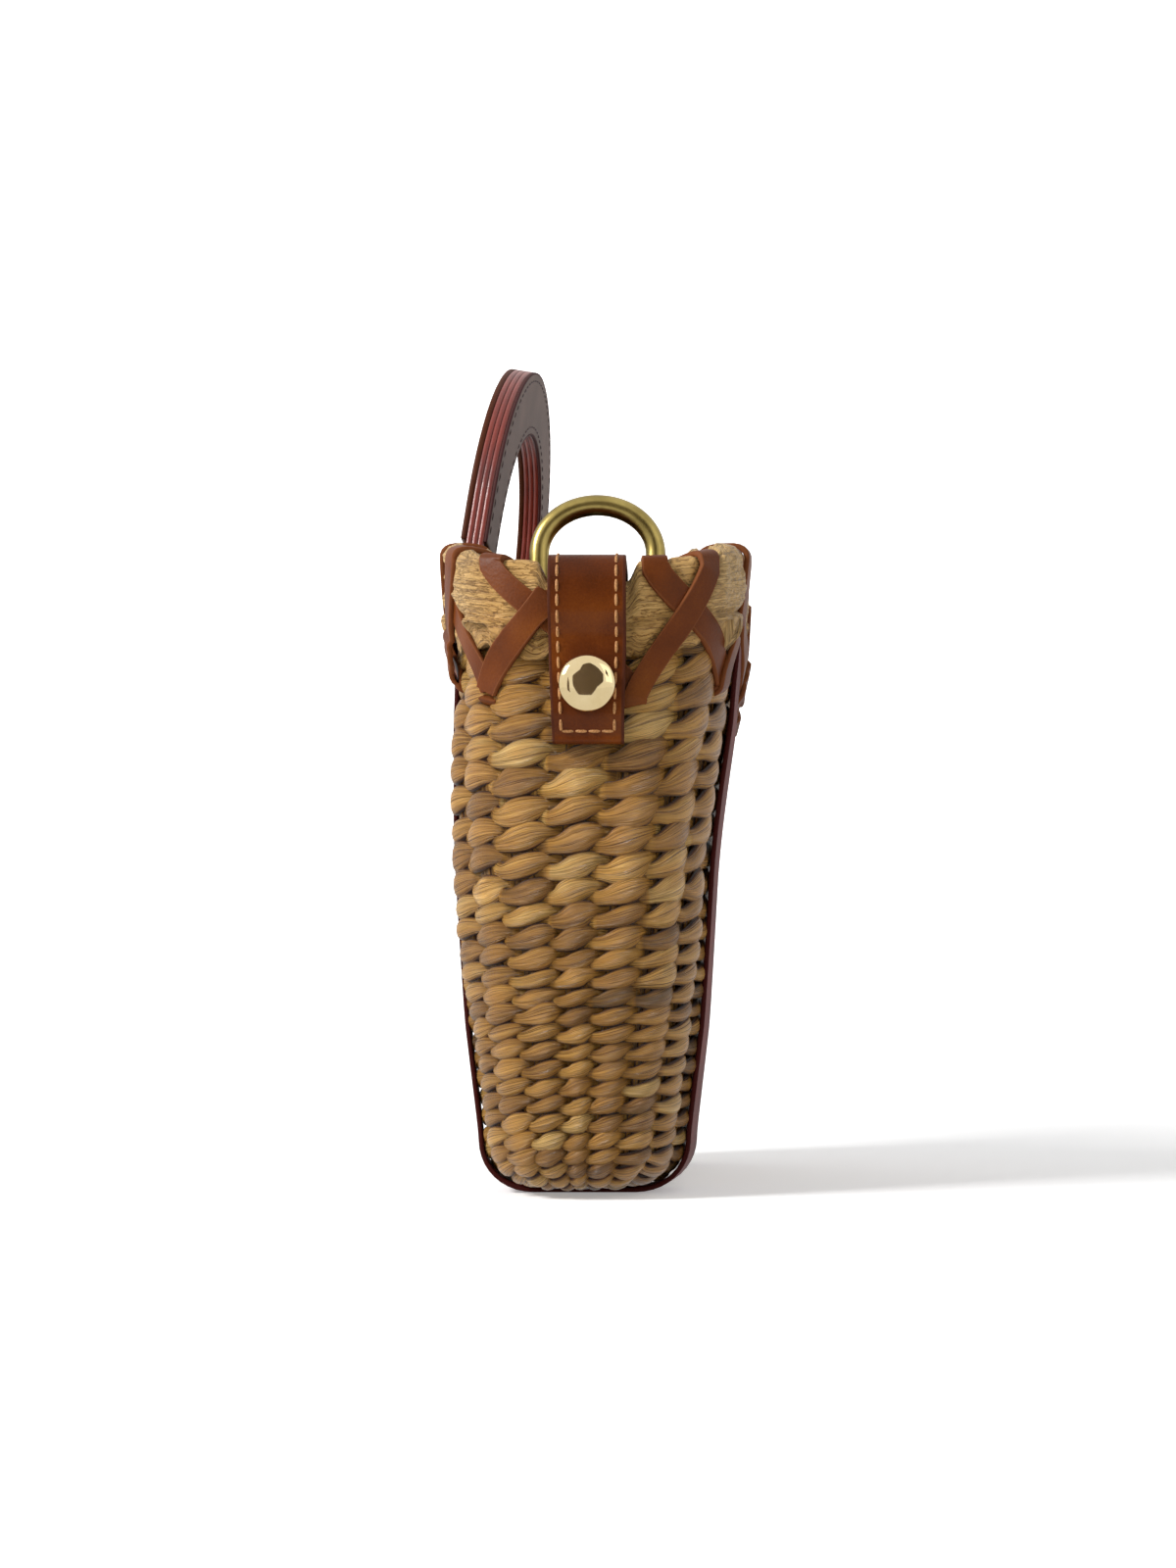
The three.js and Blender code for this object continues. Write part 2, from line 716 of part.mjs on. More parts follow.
// Places along a lace: distance round the rim, length along the loop, lift off the band
function laceTrack(over) {
  const pitches = lacePitches();
  const track = [];
  pitches.forEach((pitch, index) => {
    const wrap = over ? pitch.over : pitch.under;
    const lift = (place, climb) => {
      const overStrap = place === laceOutside ? strapLift(place(wrap, climb)) : 0;
      return over ? Math.max(overStrap, liftOverLower(pitches, index, place, climb)) : overStrap;
    };
    const add = (distance, length, height) => track.push({ distance, length, height });
    for (const climb of spread(0, 1, LACE_RUN_STEPS)) {
      add(laceOutside(wrap, climb), climb * LOOP_RUN, lift(laceOutside, climb));
    }
    for (const share of spread(0, 1, LACE_TURN_STEPS)) {
      const height = mix(lift(laceOutside, 1), lift(laceInside, 1), share);
      add(wrap.top, LOOP_RUN + share * LOOP_TURN, height);
    }
    for (const share of spread(0, 1, LACE_INNER_STEPS)) {
      const climb = 1 - share;
      const length = LOOP_RUN + LOOP_TURN + share * LOOP_RUN;
      add(laceInside(wrap, climb), length, lift(laceInside, climb));
    }
    for (const share of spread(0, 1, LACE_TURN_STEPS)) {
      const length = 2 * LOOP_RUN + LOOP_TURN + share * LOOP_TURN;
      add(wrap.end, length, over ? LACE_STEP : 0);
    }
  });
  return over ? track : joinBackward(track);
}

// The under lace runs the other way round, so its wraps are taken last to first
function joinBackward(track) {
  const perWrap = track.length / laceHoleDistances().length;
  const wraps = [];
  for (let i = 0; i < track.length; i += perWrap) {
    wraps.unshift(track.slice(i, i + perWrap));
  }
  return wraps.flat();
}

function laceRibbon(over) {
  const track = laceTrack(over);
  const count = track.length;
  const rings = track.map((here, i) => {
    const before = track[(i + count - 1) % count];
    const after = track[(i + 1) % count];
    const sideways = nearestTurn(after.distance - before.distance, RIM_LENGTH);
    const forward = nearestTurn(after.length - before.length, LOOP_LENGTH);
    const size = Math.hypot(sideways, forward);
    const corner = (side, up) => {
      const shift = (side * LACE_WIDTH) / 2 / size;
      const distance = here.distance + forward * shift;
      return lacePlace(distance, here.length - sideways * shift, here.height + up * LACE_THICKNESS);
    };
    return [corner(-1, 0), corner(1, 0), corner(1, 1), corner(-1, 1)];
  });
  return ringSolid(rings.slice(0, count - 1));
}

function nearestTurn(value, turn) {
  return value - turn * Math.round(value / turn);
}

// Handle

function handleOutline(footDrop) {
  const shape = new THREE.Shape();
  const inner = HANDLE_HALF_SPAN - HANDLE_LEG_WIDTH;
  const innerHeight = HANDLE_ARCH_HEIGHT - HANDLE_CROWN_WIDTH;
  shape.moveTo(HANDLE_HALF_SPAN, -footDrop);
  shape.lineTo(HANDLE_HALF_SPAN, HANDLE_LEG_HEIGHT);
  shape.absellipse(0, HANDLE_LEG_HEIGHT, HANDLE_HALF_SPAN, HANDLE_ARCH_HEIGHT, 0, Math.PI, false);
  shape.lineTo(-HANDLE_HALF_SPAN, -footDrop);
  shape.lineTo(-inner, -footDrop);
  shape.lineTo(-inner, HANDLE_LEG_HEIGHT);
  shape.absellipse(0, HANDLE_LEG_HEIGHT, inner, innerHeight, Math.PI, 0, true);
  shape.lineTo(inner, -footDrop);
  return shape;
}

function handleLayer(from, thickness) {
  const furthest = Math.max(Math.abs(from), Math.abs(from + thickness));
  const footDrop = Math.sqrt(Math.max(0, HANDLE_FOOT_RADIUS ** 2 - furthest ** 2));
  const options = { depth: thickness, bevelEnabled: false, curveSegments: 14 };
  const geometry = new THREE.ExtrudeGeometry(handleOutline(footDrop), options);
  geometry.rotateX(Math.PI / 2);
  geometry.translate(0, from + thickness, 0);
  return geometry;
}

function handlePivot() {
  const height = LEG_RIM_TOP + GAP + HANDLE_FOOT_RADIUS;
  const y = HANDLE_BEND_INSET - wallFace(HANDLE_LEG_CENTRE, LEG_RIM_TOP);
  return new THREE.Vector3(0, y, height + GAP / 2);
}

// End tabs: a strip folded round the ring bar, both layers over the rim and down the end

function tabSeat(z) {
  const overLower = BAND_PROUD + LACE_BAND_GAP + LACE_STEP;
  const overBoth = overLower + LACE_STEP;
  const low = RIM_HEIGHT_END - TAB_DROP;
  const reachLower = mix(2 * GAP, overLower, smooth(low + TAB_LIFT_START, low + TAB_LIFT_END, z));
  const crossing = RIM_HEIGHT_END - TAB_CROSSING_DROP;
  return reachLower + (overBoth - overLower) * smooth(crossing, crossing + TAB_CROSSING_RISE, z);
}

function ringBar() {
  const z = RIM_HEIGHT_END - RING_BAR_DROP;
  const face = BAND_INNER_FACE - LACE_BAND_GAP - LACE_STEP - TAB_LAYER - GAP;
  return new THREE.Vector2(endFace(z) + face - RING_WIRE_RADIUS, z);
}

// Middle line of the folded strip in the plane along the basket
function tabLine() {
  const outerLine = [];
  const innerLine = [];
  const low = RIM_HEIGHT_END - TAB_DROP;
  const high = RIM_HEIGHT_END - RIM_DIP - BAND_EDGE_DROP;
  const steps = 12;
  const half = TAB_LAYER / 2;
  for (let i = 0; i <= steps; i += 1) {
    const z = mix(low, high, i / steps);
    const x = endFace(z) + tabSeat(z);
    outerLine.push(new THREE.Vector2(x + TAB_LAYER + GAP + half, z));
    innerLine.push(new THREE.Vector2(x + half, z));
  }
  const bar = ringBar();
  const wrapRadius = RING_WIRE_RADIUS + GAP + half;
  const topZ = RIM_HEIGHT_END - half;
  const corner = endFace(topZ) + BAND_INNER_FACE;
  addTopBend(outerLine, topZ, BAND_EDGE_DROP + TAB_LAYER + GAP);
  outerLine.push(new THREE.Vector2(corner - TAB_LAYER, topZ));
  outerLine.push(new THREE.Vector2(corner - TAB_STACK, topZ - TAB_LAYER));
  addTopBend(innerLine, topZ - TAB_LAYER - GAP, BAND_EDGE_DROP);
  innerLine.push(new THREE.Vector2(corner - TAB_LAYER, topZ - TAB_LAYER - GAP));
  const arc = [];
  const arcSteps = 10;
  for (let i = 0; i <= arcSteps; i += 1) {
    const turn = Math.PI * mix(TAB_WRAP_START, 2, i / arcSteps);
    arc.push(new THREE.Vector2(bar.x + wrapRadius * Math.cos(turn), bar.y + wrapRadius * Math.sin(turn)));
  }
  return [...outerLine, ...arc, ...innerLine.reverse()];
}

function addTopBend(line, topZ, radius) {
  const last = line[line.length - 1];
  const rise = topZ - last.y;
  const steps = 4;
  for (let i = 1; i <= steps; i += 1) {
    const turn = (i / steps) * (Math.PI / 2);
    line.push(new THREE.Vector2(last.x - radius * (1 - Math.cos(turn)), last.y + rise * Math.sin(turn)));
  }
}

function stripShape(line, thickness) {
  const half = thickness / 2;
  const left = [];
  const right = [];
  for (let i = 0; i < line.length; i += 1) {
    const a = line[Math.max(0, i - 1)];
    const b = line[Math.min(line.length - 1, i + 1)];
    const along = b.clone().sub(a).normalize();
    const normal = new THREE.Vector2(-along.y, along.x);
    left.push(line[i].clone().addScaledVector(normal, half));
    right.push(line[i].clone().addScaledVector(normal, -half));
  }
  return new THREE.Shape([...left, ...right.reverse()]);
}

function tabStrip(endSign) {
  const options = { depth: TAB_WIDTH, bevelEnabled: false };
  const geometry = new THREE.ExtrudeGeometry(stripShape(tabLine(), TAB_LAYER), options);
  geometry.rotateX(Math.PI / 2);
  geometry.translate(0, TAB_WIDTH / 2, 0);
  if (endSign < 0) {
    geometry.rotateZ(Math.PI);
  }
  return cutBy(geometry, [postHole(endSign)]);
}

// Dome studs: the post goes through tab and wall into a back plate

function studSeat() {
  const z = RIM_HEIGHT_END - STUD_DROP;
  const x = endFace(z) + tabSeat(z) + TAB_STACK + GAP;
  return { x, z, tilt: Math.atan(WALL_FLARE), depth: tabSeat(z) + TAB_STACK + GAP };
}

function studCap() {
  const post = studSeat().depth + WALL_THICKNESS + GAP + STUD_BACK_THICKNESS;
  const profile = [new THREE.Vector2(0, -post), new THREE.Vector2(STUD_POST_RADIUS, -post)];
  profile.push(new THREE.Vector2(STUD_POST_RADIUS, 0));
  profile.push(new THREE.Vector2(STUD_RADIUS - GAP, 0));
  const steps = 4;
  for (let i = 0; i < steps; i += 1) {
    const turn = (i / steps) * (Math.PI / 2);
    const z = STUD_RIM_HEIGHT + STUD_DOME_HEIGHT * Math.sin(turn);
    profile.push(new THREE.Vector2(STUD_RADIUS * Math.cos(turn), z));
  }
  profile.push(new THREE.Vector2(0, STUD_RIM_HEIGHT + STUD_DOME_HEIGHT));
  return new THREE.LatheGeometry(profile, 20);
}

function studBack() {
  const back = -(studSeat().depth + WALL_THICKNESS + GAP);
  const hole = STUD_POST_RADIUS + GAP;
  const low = back - STUD_BACK_THICKNESS;
  const profile = [
    [hole, low],
    [STUD_BACK_RADIUS - STUD_RIM_HEIGHT, low],
    [STUD_BACK_RADIUS, low + STUD_RIM_HEIGHT],
    [STUD_BACK_RADIUS, back],
    [hole, back],
    [hole, low],
  ];
  return new THREE.LatheGeometry(profile.map(([r, z]) => new THREE.Vector2(r, z)), 16);
}

// D rings

function ringPath() {
  const path = new THREE.Path();
  const w = RING_HALF_WIDTH;
  const r = RING_CORNER_RADIUS;
  path.moveTo(-w + r, 0);
  path.lineTo(w - r, 0);
  path.absarc(w - r, r, r, -Math.PI / 2, 0, false);
  path.lineTo(w, RING_LEG_HEIGHT);
  path.absellipse(0, RING_LEG_HEIGHT, w, RING_ARCH_HEIGHT, 0, Math.PI, false);
  path.lineTo(-w, r);
  path.absarc(-w + r, r, r, Math.PI, 1.5 * Math.PI, false);
  return path.getSpacedPoints(32).slice(0, 32);
}

function dRing() {
  const line = ringPath();
  const sides = 8;
  const rings = line.map((p, i) => {
    const a = line[(i + line.length - 1) % line.length];
    const b = line[(i + 1) % line.length];
    const along = b.clone().sub(a).normalize();
    const ring = [];
    for (let j = 0; j < sides; j += 1) {
      const turn = ((j + 0.5) / sides) * 2 * Math.PI;
      const outward = RING_WIRE_RADIUS * Math.cos(turn);
      const y = p.x + along.y * outward;
      const z = p.y - along.x * outward;
      ring.push(new THREE.Vector3(RING_WIRE_RADIUS * Math.sin(turn), y, z));
    }
    return ring;
  });
  return ringSolid(rings, true);
}

// Materials

const straw = () => new THREE.MeshStandardMaterial({ color: 0xb58a50, roughness: 0.75, metalness: 0 });
const leaf = () => new THREE.MeshStandardMaterial({ color: 0xc7a36a, roughness: 0.7, metalness: 0 });
const saddle = () => new THREE.MeshStandardMaterial({ color: 0x7c4a26, roughness: 0.5, metalness: 0 });
const tan = () => new THREE.MeshStandardMaterial({ color: 0x8a4a1e, roughness: 0.5, metalness: 0 });
const burgundy = () => new THREE.MeshStandardMaterial({ color: 0x7a2f35, roughness: 0.45, metalness: 0 });
const oxblood = () => new THREE.MeshStandardMaterial({ color: 0x5a1710, roughness: 0.45, metalness: 0 });
const taupe = () => new THREE.MeshStandardMaterial({ color: 0x6b5b53, roughness: 0.6, metalness: 0 });
const brass = () => new THREE.MeshStandardMaterial({ color: 0xb99a4a, roughness: 0.3, metalness: 1 });
const paleGold = () => new THREE.MeshStandardMaterial({ color: 0xe0cc9a, roughness: 0.08, metalness: 1 });

// Assembly

function addMesh(parent, name, geometry, material) {
  const mesh = new THREE.Mesh(geometry, material);
  mesh.name = name;
  parent.add(mesh);
  return mesh;
}

function addBasket(parent) {
  addMesh(parent, 'basket_shell', basketShell(), straw());
  addMesh(parent, 'rim_wrap', rimWrap(), leaf());
  addMesh(parent, 'lace_over', laceRibbon(true), saddle());
  addMesh(parent, 'lace_under', laceRibbon(false), saddle());
}

function addStraps(parent) {
  for (const [end, endSign] of [['near', 1], ['far', -1]]) {
    addMesh(parent, `strap_${end}`, strapSolid(endSign), oxblood());
    for (const [wall, wallSign] of [['front', -1], ['back', 1]]) {
      addMesh(parent, `anchor_${wall}_${end}`, anchorSolid(endSign, wallSign), taupe());
    }
  }
}

function addHandle(parent) {
  const leaning = new THREE.Group();
  leaning.position.copy(handlePivot());
  leaning.rotation.x = -THREE.MathUtils.degToRad(HANDLE_LEAN);
  parent.add(leaning);
  let from = -HANDLE_STACK / 2;
  for (const [layer, thickness, material] of [
    ['outer', HANDLE_OUTER_THICKNESS, tan],
    ['core_outer', HANDLE_CORE_THICKNESS, burgundy],
    ['core_middle', HANDLE_CORE_THICKNESS, burgundy],
    ['core_inner', HANDLE_CORE_THICKNESS, burgundy],
    ['lining', HANDLE_LINING_THICKNESS, taupe],
  ]) {
    addMesh(leaning, `front_handle_${layer}`, handleLayer(from, thickness), material());
    from += thickness + GAP;
  }
}

function addEnds(parent) {
  for (const [end, endSign] of [['near', 1], ['far', -1]]) {
    addMesh(parent, `tab_${end}`, tabStrip(endSign), tan());
    const side = new THREE.Group();
    side.rotation.z = endSign > 0 ? 0 : Math.PI;
    parent.add(side);
    const seat = studSeat();
    const stud = new THREE.Group();
    stud.position.set(seat.x, 0, seat.z);
    stud.rotation.y = seat.tilt;
    side.add(stud);
    const turned = new THREE.Group();
    turned.rotation.z = -Math.PI / 2;
    stud.add(turned);
    addMesh(turned, `stud_cap_${end}`, studCap(), paleGold());
    addMesh(turned, `stud_back_${end}`, studBack(), brass());
    const bar = ringBar();
    const ring = addMesh(side, `ring_${end}`, dRing(), brass());
    ring.position.set(bar.x, RING_SIDE_SHIFT, bar.y);
  }
}

const basket = new THREE.Group();
addBasket(basket);
addStraps(basket);
addHandle(basket);
addEnds(basket);

export default basket;
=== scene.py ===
# Looks of the small twined straw bag with one leather handle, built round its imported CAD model.
# Sizes are in millimetres in this script and turned into metres where a mesh is made.

import math

import bmesh
import bpy
import numpy as np
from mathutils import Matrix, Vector
from mathutils.kdtree import KDTree


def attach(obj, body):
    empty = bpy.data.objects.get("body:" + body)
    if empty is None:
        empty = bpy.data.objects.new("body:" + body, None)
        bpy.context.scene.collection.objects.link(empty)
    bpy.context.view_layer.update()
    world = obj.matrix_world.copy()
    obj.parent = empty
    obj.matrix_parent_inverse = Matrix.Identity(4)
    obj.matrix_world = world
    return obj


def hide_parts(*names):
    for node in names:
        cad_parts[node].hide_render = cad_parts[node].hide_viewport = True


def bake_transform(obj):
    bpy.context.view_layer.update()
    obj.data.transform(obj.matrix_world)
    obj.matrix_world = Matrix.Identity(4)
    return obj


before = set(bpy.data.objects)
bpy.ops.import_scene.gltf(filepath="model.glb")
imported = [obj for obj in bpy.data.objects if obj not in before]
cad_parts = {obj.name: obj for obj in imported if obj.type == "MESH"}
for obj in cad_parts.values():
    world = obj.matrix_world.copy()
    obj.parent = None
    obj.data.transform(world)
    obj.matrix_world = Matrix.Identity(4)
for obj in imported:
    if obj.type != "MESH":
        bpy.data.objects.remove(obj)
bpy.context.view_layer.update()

MM = 0.001
ENDS = (("near", 1), ("far", -1))

# Sizes shared with the CAD source
GAP = 0.3
BODY_HALF_LENGTH, BODY_HALF_WIDTH = 96.6, 31.5
WALL_FLARE, FOOT_HEIGHT, FOOT_DRAW_IN = 0.069, 50, 0.045
PLAN_POWER_TOP, PLAN_POWER_BASE = 4, 3.4
WALL_THICKNESS, BASE_CORNER_RADIUS, BASE_HEIGHT = 7.5, 12, 1.8
RIM_HEIGHT_END, RIM_HEIGHT_SIDE = 172, 186
RIM_RISE_START, RIM_RISE_END, RIM_DIP_SPAN = 14, 75, 3.5
BAND_PROUD, BAND_OUTER_DROP, BAND_INNER_DROP = 0.4, 25.4, 20
BAND_OUTER_THICKNESS, BAND_INNER_THICKNESS, BAND_TOP_THICKNESS = 3.7, 2.2, 3.6
BAND_EDGE_DROP = 3
LACE_WIDTH, LACE_THICKNESS, LACE_DEPTH = 6.8, 1.4, 36
LACE_OVER_SHARE, LACE_UNDER_SHARE, LACE_CLEAR_OF_HANDLE = 0.52, 0.92, 15
LACE_HOLE_FIRST_SHARE = -0.1103
LACE_HOLE_PITCH_SHARES = (0.1648, 0.1332, 0.1692, 0.1435, 0.1453, 0.1343)
LACE_BEND_DEPTH, LACE_CROSSING_GAP, LACE_BAND_GAP = 3, 0.65, 0.4
LACE_LEAD, LACE_FADE, LACE_EASE = 0.12, 4, 0.35
STRAP_THICKNESS = 1.5
ANCHOR_THICKNESS, ANCHOR_DROP = 1.2, 42
HANDLE_HALF_SPAN, HANDLE_LEG_WIDTH, HANDLE_LEG_HEIGHT = 67.5, 20, 9
HANDLE_ARCH_HEIGHT, HANDLE_CROWN_WIDTH = 63.7, 18.5
HANDLE_LAYERS = (("outer", 1.5), ("core_outer", 1.4), ("core_middle", 1.4), ("core_inner", 1.4),
                 ("lining", 0.7))
HANDLE_BEND_INSET, HANDLE_LEAN = 7.8, 9.2
TAB_WIDTH, TAB_DROP, TAB_LAYER = 20.5, 48.6, 1.4
TAB_LIFT_START, TAB_LIFT_END, TAB_CROSSING_DROP, TAB_CROSSING_RISE, TAB_WRAP_START = 1, 7, 22, 7, 0.42
STUD_DROP, STUD_RADIUS, STUD_DOME_HEIGHT, STUD_RIM_HEIGHT = 34.3, 7.5, 2.6, 0.7
STUD_POST_RADIUS, STUD_BACK_RADIUS, STUD_BACK_THICKNESS = 2, 4.5, 1.6
RING_WIRE_RADIUS, RING_HALF_WIDTH, RING_LEG_HEIGHT, RING_ARCH_HEIGHT = 2.75, 16.1, 13.5, 13.5
RING_CORNER_RADIUS, RING_BAR_DROP, RING_SIDE_SHIFT = 4, 7, 1.6

BAND_INNER_FACE = -WALL_THICKNESS - GAP - BAND_INNER_THICKNESS
BAND_UNDERSIDE = BAND_PROUD - BAND_OUTER_THICKNESS
LACE_STEP = LACE_THICKNESS + LACE_CROSSING_GAP
TAB_STACK = 2 * TAB_LAYER + GAP
RIM_DIP = TAB_STACK + LACE_BAND_GAP + LACE_STEP
HANDLE_STACK = sum(t for _, t in HANDLE_LAYERS) + 4 * GAP
HANDLE_LEG_CENTRE = HANDLE_HALF_SPAN - HANDLE_LEG_WIDTH / 2
STRAP_EDGES = (HANDLE_HALF_SPAN - HANDLE_LEG_WIDTH, HANDLE_HALF_SPAN)

# Weave, read from the photograph: stakes, how they crowd at the foot, and row pitch at foot and top
STAKES, STEPS_PER_STAKE = 28, 16
STAKE_CROWDING, STAKE_CROWDING_TOP = 0.4, 150
ROW_PITCH_FOOT, ROW_PITCH_TOP, ROW_CHANGE = 4.9, 7.4, (48, 98)
WEAVE_MIDDLE, WEAVE_SWING, WEAVE_LEAD = 3.75, 1.9, 0.35
FOOT_LEAN, FOOT_LEAN_FADE = -3.4, (92, 160)
# How far it stands off the wall's plain face, and the heights where that changes
SWELL_FOOT, SWELL_TOP, SWELL_CHANGE, SWELL_FADE = 1.5, 0.6, (40, 130), (135, 150)
SIDE_BULGE, BACK_BULGE_SHARE, BULGE_PLACE, BULGE_REACH = 2.2, 0.25, 58, (15, 1)
BULGE_RISE, BULGE_FADE = (38, 70), (124, 146)
# How far the rows under the base stop from its middle line
BASE_MIDDLE_GAP = 3.5
# A strand at a crossing and over a stake: half height in row pitches and half depth in mm
STRAND_HEIGHT, STRAND_DEPTH = (0.32, 0.58), (1.45, 1.9)
# How far it climbs in pitches, and how fast it narrows toward a crossing
STRAND_CLIMB, STRAND_TAPER = 0.25, 0.85
# How much its visible turns differ: sideways in stakes, in height, upward in pitches, outward in mm
STRAND_DRIFT = (0.07, 0.13, 0.08, 0.2)
# Where a strap presses it: mm beside the strap, and how much deeper and flatter it lies there
PRESS_REACH, PRESS_DEPTH, PRESS_FLAT = (1.5, 7), 0.1, 0.35
# A stake's stems: its width in stake pitches and in half stems, and their sink and wobble in mm
STEMS, STAKE_WIDTH, STAKE_IN_HALF_STEMS = 6, 0.66, 9.5
STEM_HALF_DEPTH, STEM_PROUD, STEM_SINK, STEM_WOBBLE = 0.9, 0.3, 1.5, 0.14
# Length added from one strand or stem to the next, so that no two look alike
STRAND_SHIFT, STEM_SHIFT = 37.0, 53.0
# Laces and straps as drawn: closer to what carries them than the CAD solids
LACE_SEAT, LACE_CLIMB, LACE_SINK, HOLE_SINK = 0.05, LACE_THICKNESS - 0.1, 0.15, 1.7
STRAP_BEND, STRAP_SUNK = 14.5, 0.6
# Leaf band as drawn: its fold and puffs in mm, and where its corners puff by distance from the end
BAND_STATIONS, BAND_FOLD_DROP = 760, 16.0
BAND_UPPER_PUFF, BAND_LOWER_PUFF, BAND_CREASE_DEPTH, BAND_CREASE_WIDTH = 0.5, 1.25, 1.5, 0.75
BAND_INSIDE_LIFT, BAND_SIDE_PUFF, BAND_CORNER_PUFF, BAND_CORNER_SWELL = 0.3, 0.5, 1.7, 1.9
BAND_CORNER_RISE, BAND_CORNER_FADE, BAND_SIDE_RISE = (26, 40), (52, 70), (40, 60)
# Its relief: mm, cells round the rim, mm per cell down the band, first cell, seed and middle of the noise
LEVEL = math.inf
BAND_FOLD, BAND_SWELL = (3.0, 22, LEVEL, 0, 3, 0.5), (1.3, 46, 9, 9, 4, 0.4)
BAND_WRINKLE, BAND_FINE = (0.75, 60, 1.7, 20, 5, 0.5), (0.4, 190, 0.9, 30, 6, 0.5)
BAND_CRUMPLE, BAND_TONE = (0.9, 210, 2.4, 12, 8, 0.5), (0.35, 16, LEVEL, 0, 13, 0.5)
BAND_RAGGED = ((2.2, 70, LEVEL, 0, 9, 0.45), (1.0, 260, LEVEL, 0, 10, 0.5))
# Hinge leather: how far it reaches below and above the bend, and where the bend starts and ends
HINGE_REACH, HINGE_BEND, HINGE_INSET, HINGE_HALF_THICKNESS = (-7.0, 3.6), (-3, 3), 0.8, 0.7
STITCH_INSET, STITCH_PITCH, STITCH_LENGTH = 2.5, 4.0, 3.1
TAB_THREAD_RADIUS, HANDLE_THREAD_RADIUS = 0.42, 0.26
# Sections as (points, squareness)
ROUND, STEM_ROUND, WIRE = (12, 1.0), (6, 1.0), (24, 1.0)
HINGE_FLAT, RIBBON, THICK_LEATHER, TAB_LEATHER = (12, 6.0), (16, 6.0), (24, 8.0), (28, 8.0)


def smooth(a, b, v):
    t = np.clip((np.asarray(v, float) - a) / (b - a), 0, 1)
    return t * t * (3 - 2 * t)


def ease(a, b, v):
    """The same curve as smooth, for one number."""
    t = min(max((v - a) / (b - a), 0.0), 1.0)
    return t * t * (3 - 2 * t)


def mix(a, b, t):
    return a + (b - a) * t


def unit(v):
    return v / np.maximum(np.linalg.norm(v, axis=-1, keepdims=True), 1e-12)


def square_to(v, axis):
    return unit(v - axis * np.sum(v * axis, -1, keepdims=True))


def columns(*parts):
    """Arrays and numbers side by side, as points or vectors."""
    return np.stack(np.broadcast_arrays(*(np.asarray(p, float) for p in parts)), -1)


def everywhere(vector, points):
    """The same vector at each of the points."""
    return np.tile(vector, (len(points), 1))


def lengths(points):
    """Length along a line up to each of its points."""
    return np.concatenate([[0], np.cumsum(np.linalg.norm(np.diff(points, axis=0), axis=1))])


def resample(points, count):
    points = np.asarray(points, float)
    along = lengths(points)
    wanted = np.linspace(0, along[-1], count)
    return columns(*(np.interp(wanted, along, axis) for axis in points.T))


# Plan of the body


def half_sizes(z):
    grow = WALL_FLARE * z - FOOT_DRAW_IN * np.maximum(0, FOOT_HEIGHT - z)
    return BODY_HALF_LENGTH + grow, BODY_HALF_WIDTH + grow


def plan_power(z):
    return mix(PLAN_POWER_BASE, PLAN_POWER_TOP, np.clip(z / RIM_HEIGHT_END, 0, 1))


def plan_point(angle, z, inset=0.0):
    power = 2 / plan_power(z)
    axes = zip((np.cos(angle), np.sin(angle)), half_sizes(z))
    return columns(*(np.sign(t) * (half - inset) * np.abs(t) ** power for t, half in axes))


def plan_normal(angle, z):
    power, p = plan_power(z), plan_point(angle, z)
    sides = zip((p[..., 0], p[..., 1]), half_sizes(z))
    return unit(columns(*(np.sign(v) * np.abs(v / half) ** (power - 1) / half for v, half in sides)))


def wall_point(angle, z, out):
    p = plan_point(angle, z) + plan_normal(angle, z) * out[..., None]
    return columns(p[..., 0], p[..., 1], z)


def wall_face(x, z):
    power, (length, width) = plan_power(z), half_sizes(z)
    return width * (1 - np.abs(x / length) ** power) ** (1 / power)


def end_face(z):
    return half_sizes(z)[0]


TABLE_ANGLES = np.linspace(0, 2 * math.pi, 4001)
RIM_TABLE = lengths(plan_point(TABLE_ANGLES, RIM_HEIGHT_END))
RIM_LENGTH = RIM_TABLE[-1]


def rim_angle(distance):
    return np.interp(np.mod(distance, RIM_LENGTH), RIM_TABLE, TABLE_ANGLES)


def distance_to_end(distance):
    along = np.mod(distance, RIM_LENGTH / 2)
    return np.minimum(along, RIM_LENGTH / 2 - along)


def rim_top(distance):
    rise = RIM_HEIGHT_SIDE - RIM_HEIGHT_END
    return RIM_HEIGHT_END + rise * smooth(RIM_RISE_START, RIM_RISE_END, distance_to_end(distance))


def rim_height(distance, drop):
    edge = TAB_WIDTH / 2 + GAP
    under = 1 - smooth(edge, edge + RIM_DIP_SPAN, distance_to_end(distance))
    near_top = 1 - smooth(BAND_EDGE_DROP, BAND_INNER_DROP, -drop)
    return rim_top(distance) + drop - RIM_DIP * under * near_top


def find_leg_distance():
    d = np.arange(0, RIM_LENGTH / 4, 0.05)
    return d[np.argmax(plan_point(rim_angle(d), RIM_HEIGHT_END)[:, 0] <= HANDLE_LEG_CENTRE)]


LEG_DISTANCE = find_leg_distance()
LEG_RIM_TOP = float(rim_top(LEG_DISTANCE))


# Node trees


class Value:
    """A node's output that adds, subtracts and multiplies; an index gives another of the node's outputs."""

    def __init__(self, net, socket):
        self.net, self.socket = net, socket

    def __getitem__(self, key):
        return Value(self.net, self.socket.node.outputs[key])

    def __add__(self, other):
        return self.net.math("ADD", self, other)

    def __sub__(self, other):
        return self.net.math("SUBTRACT", self, other)

    def __mul__(self, other):
        return self.net.math("MULTIPLY", self, other)

    def __abs__(self):
        return self.net.math("ABSOLUTE", self)


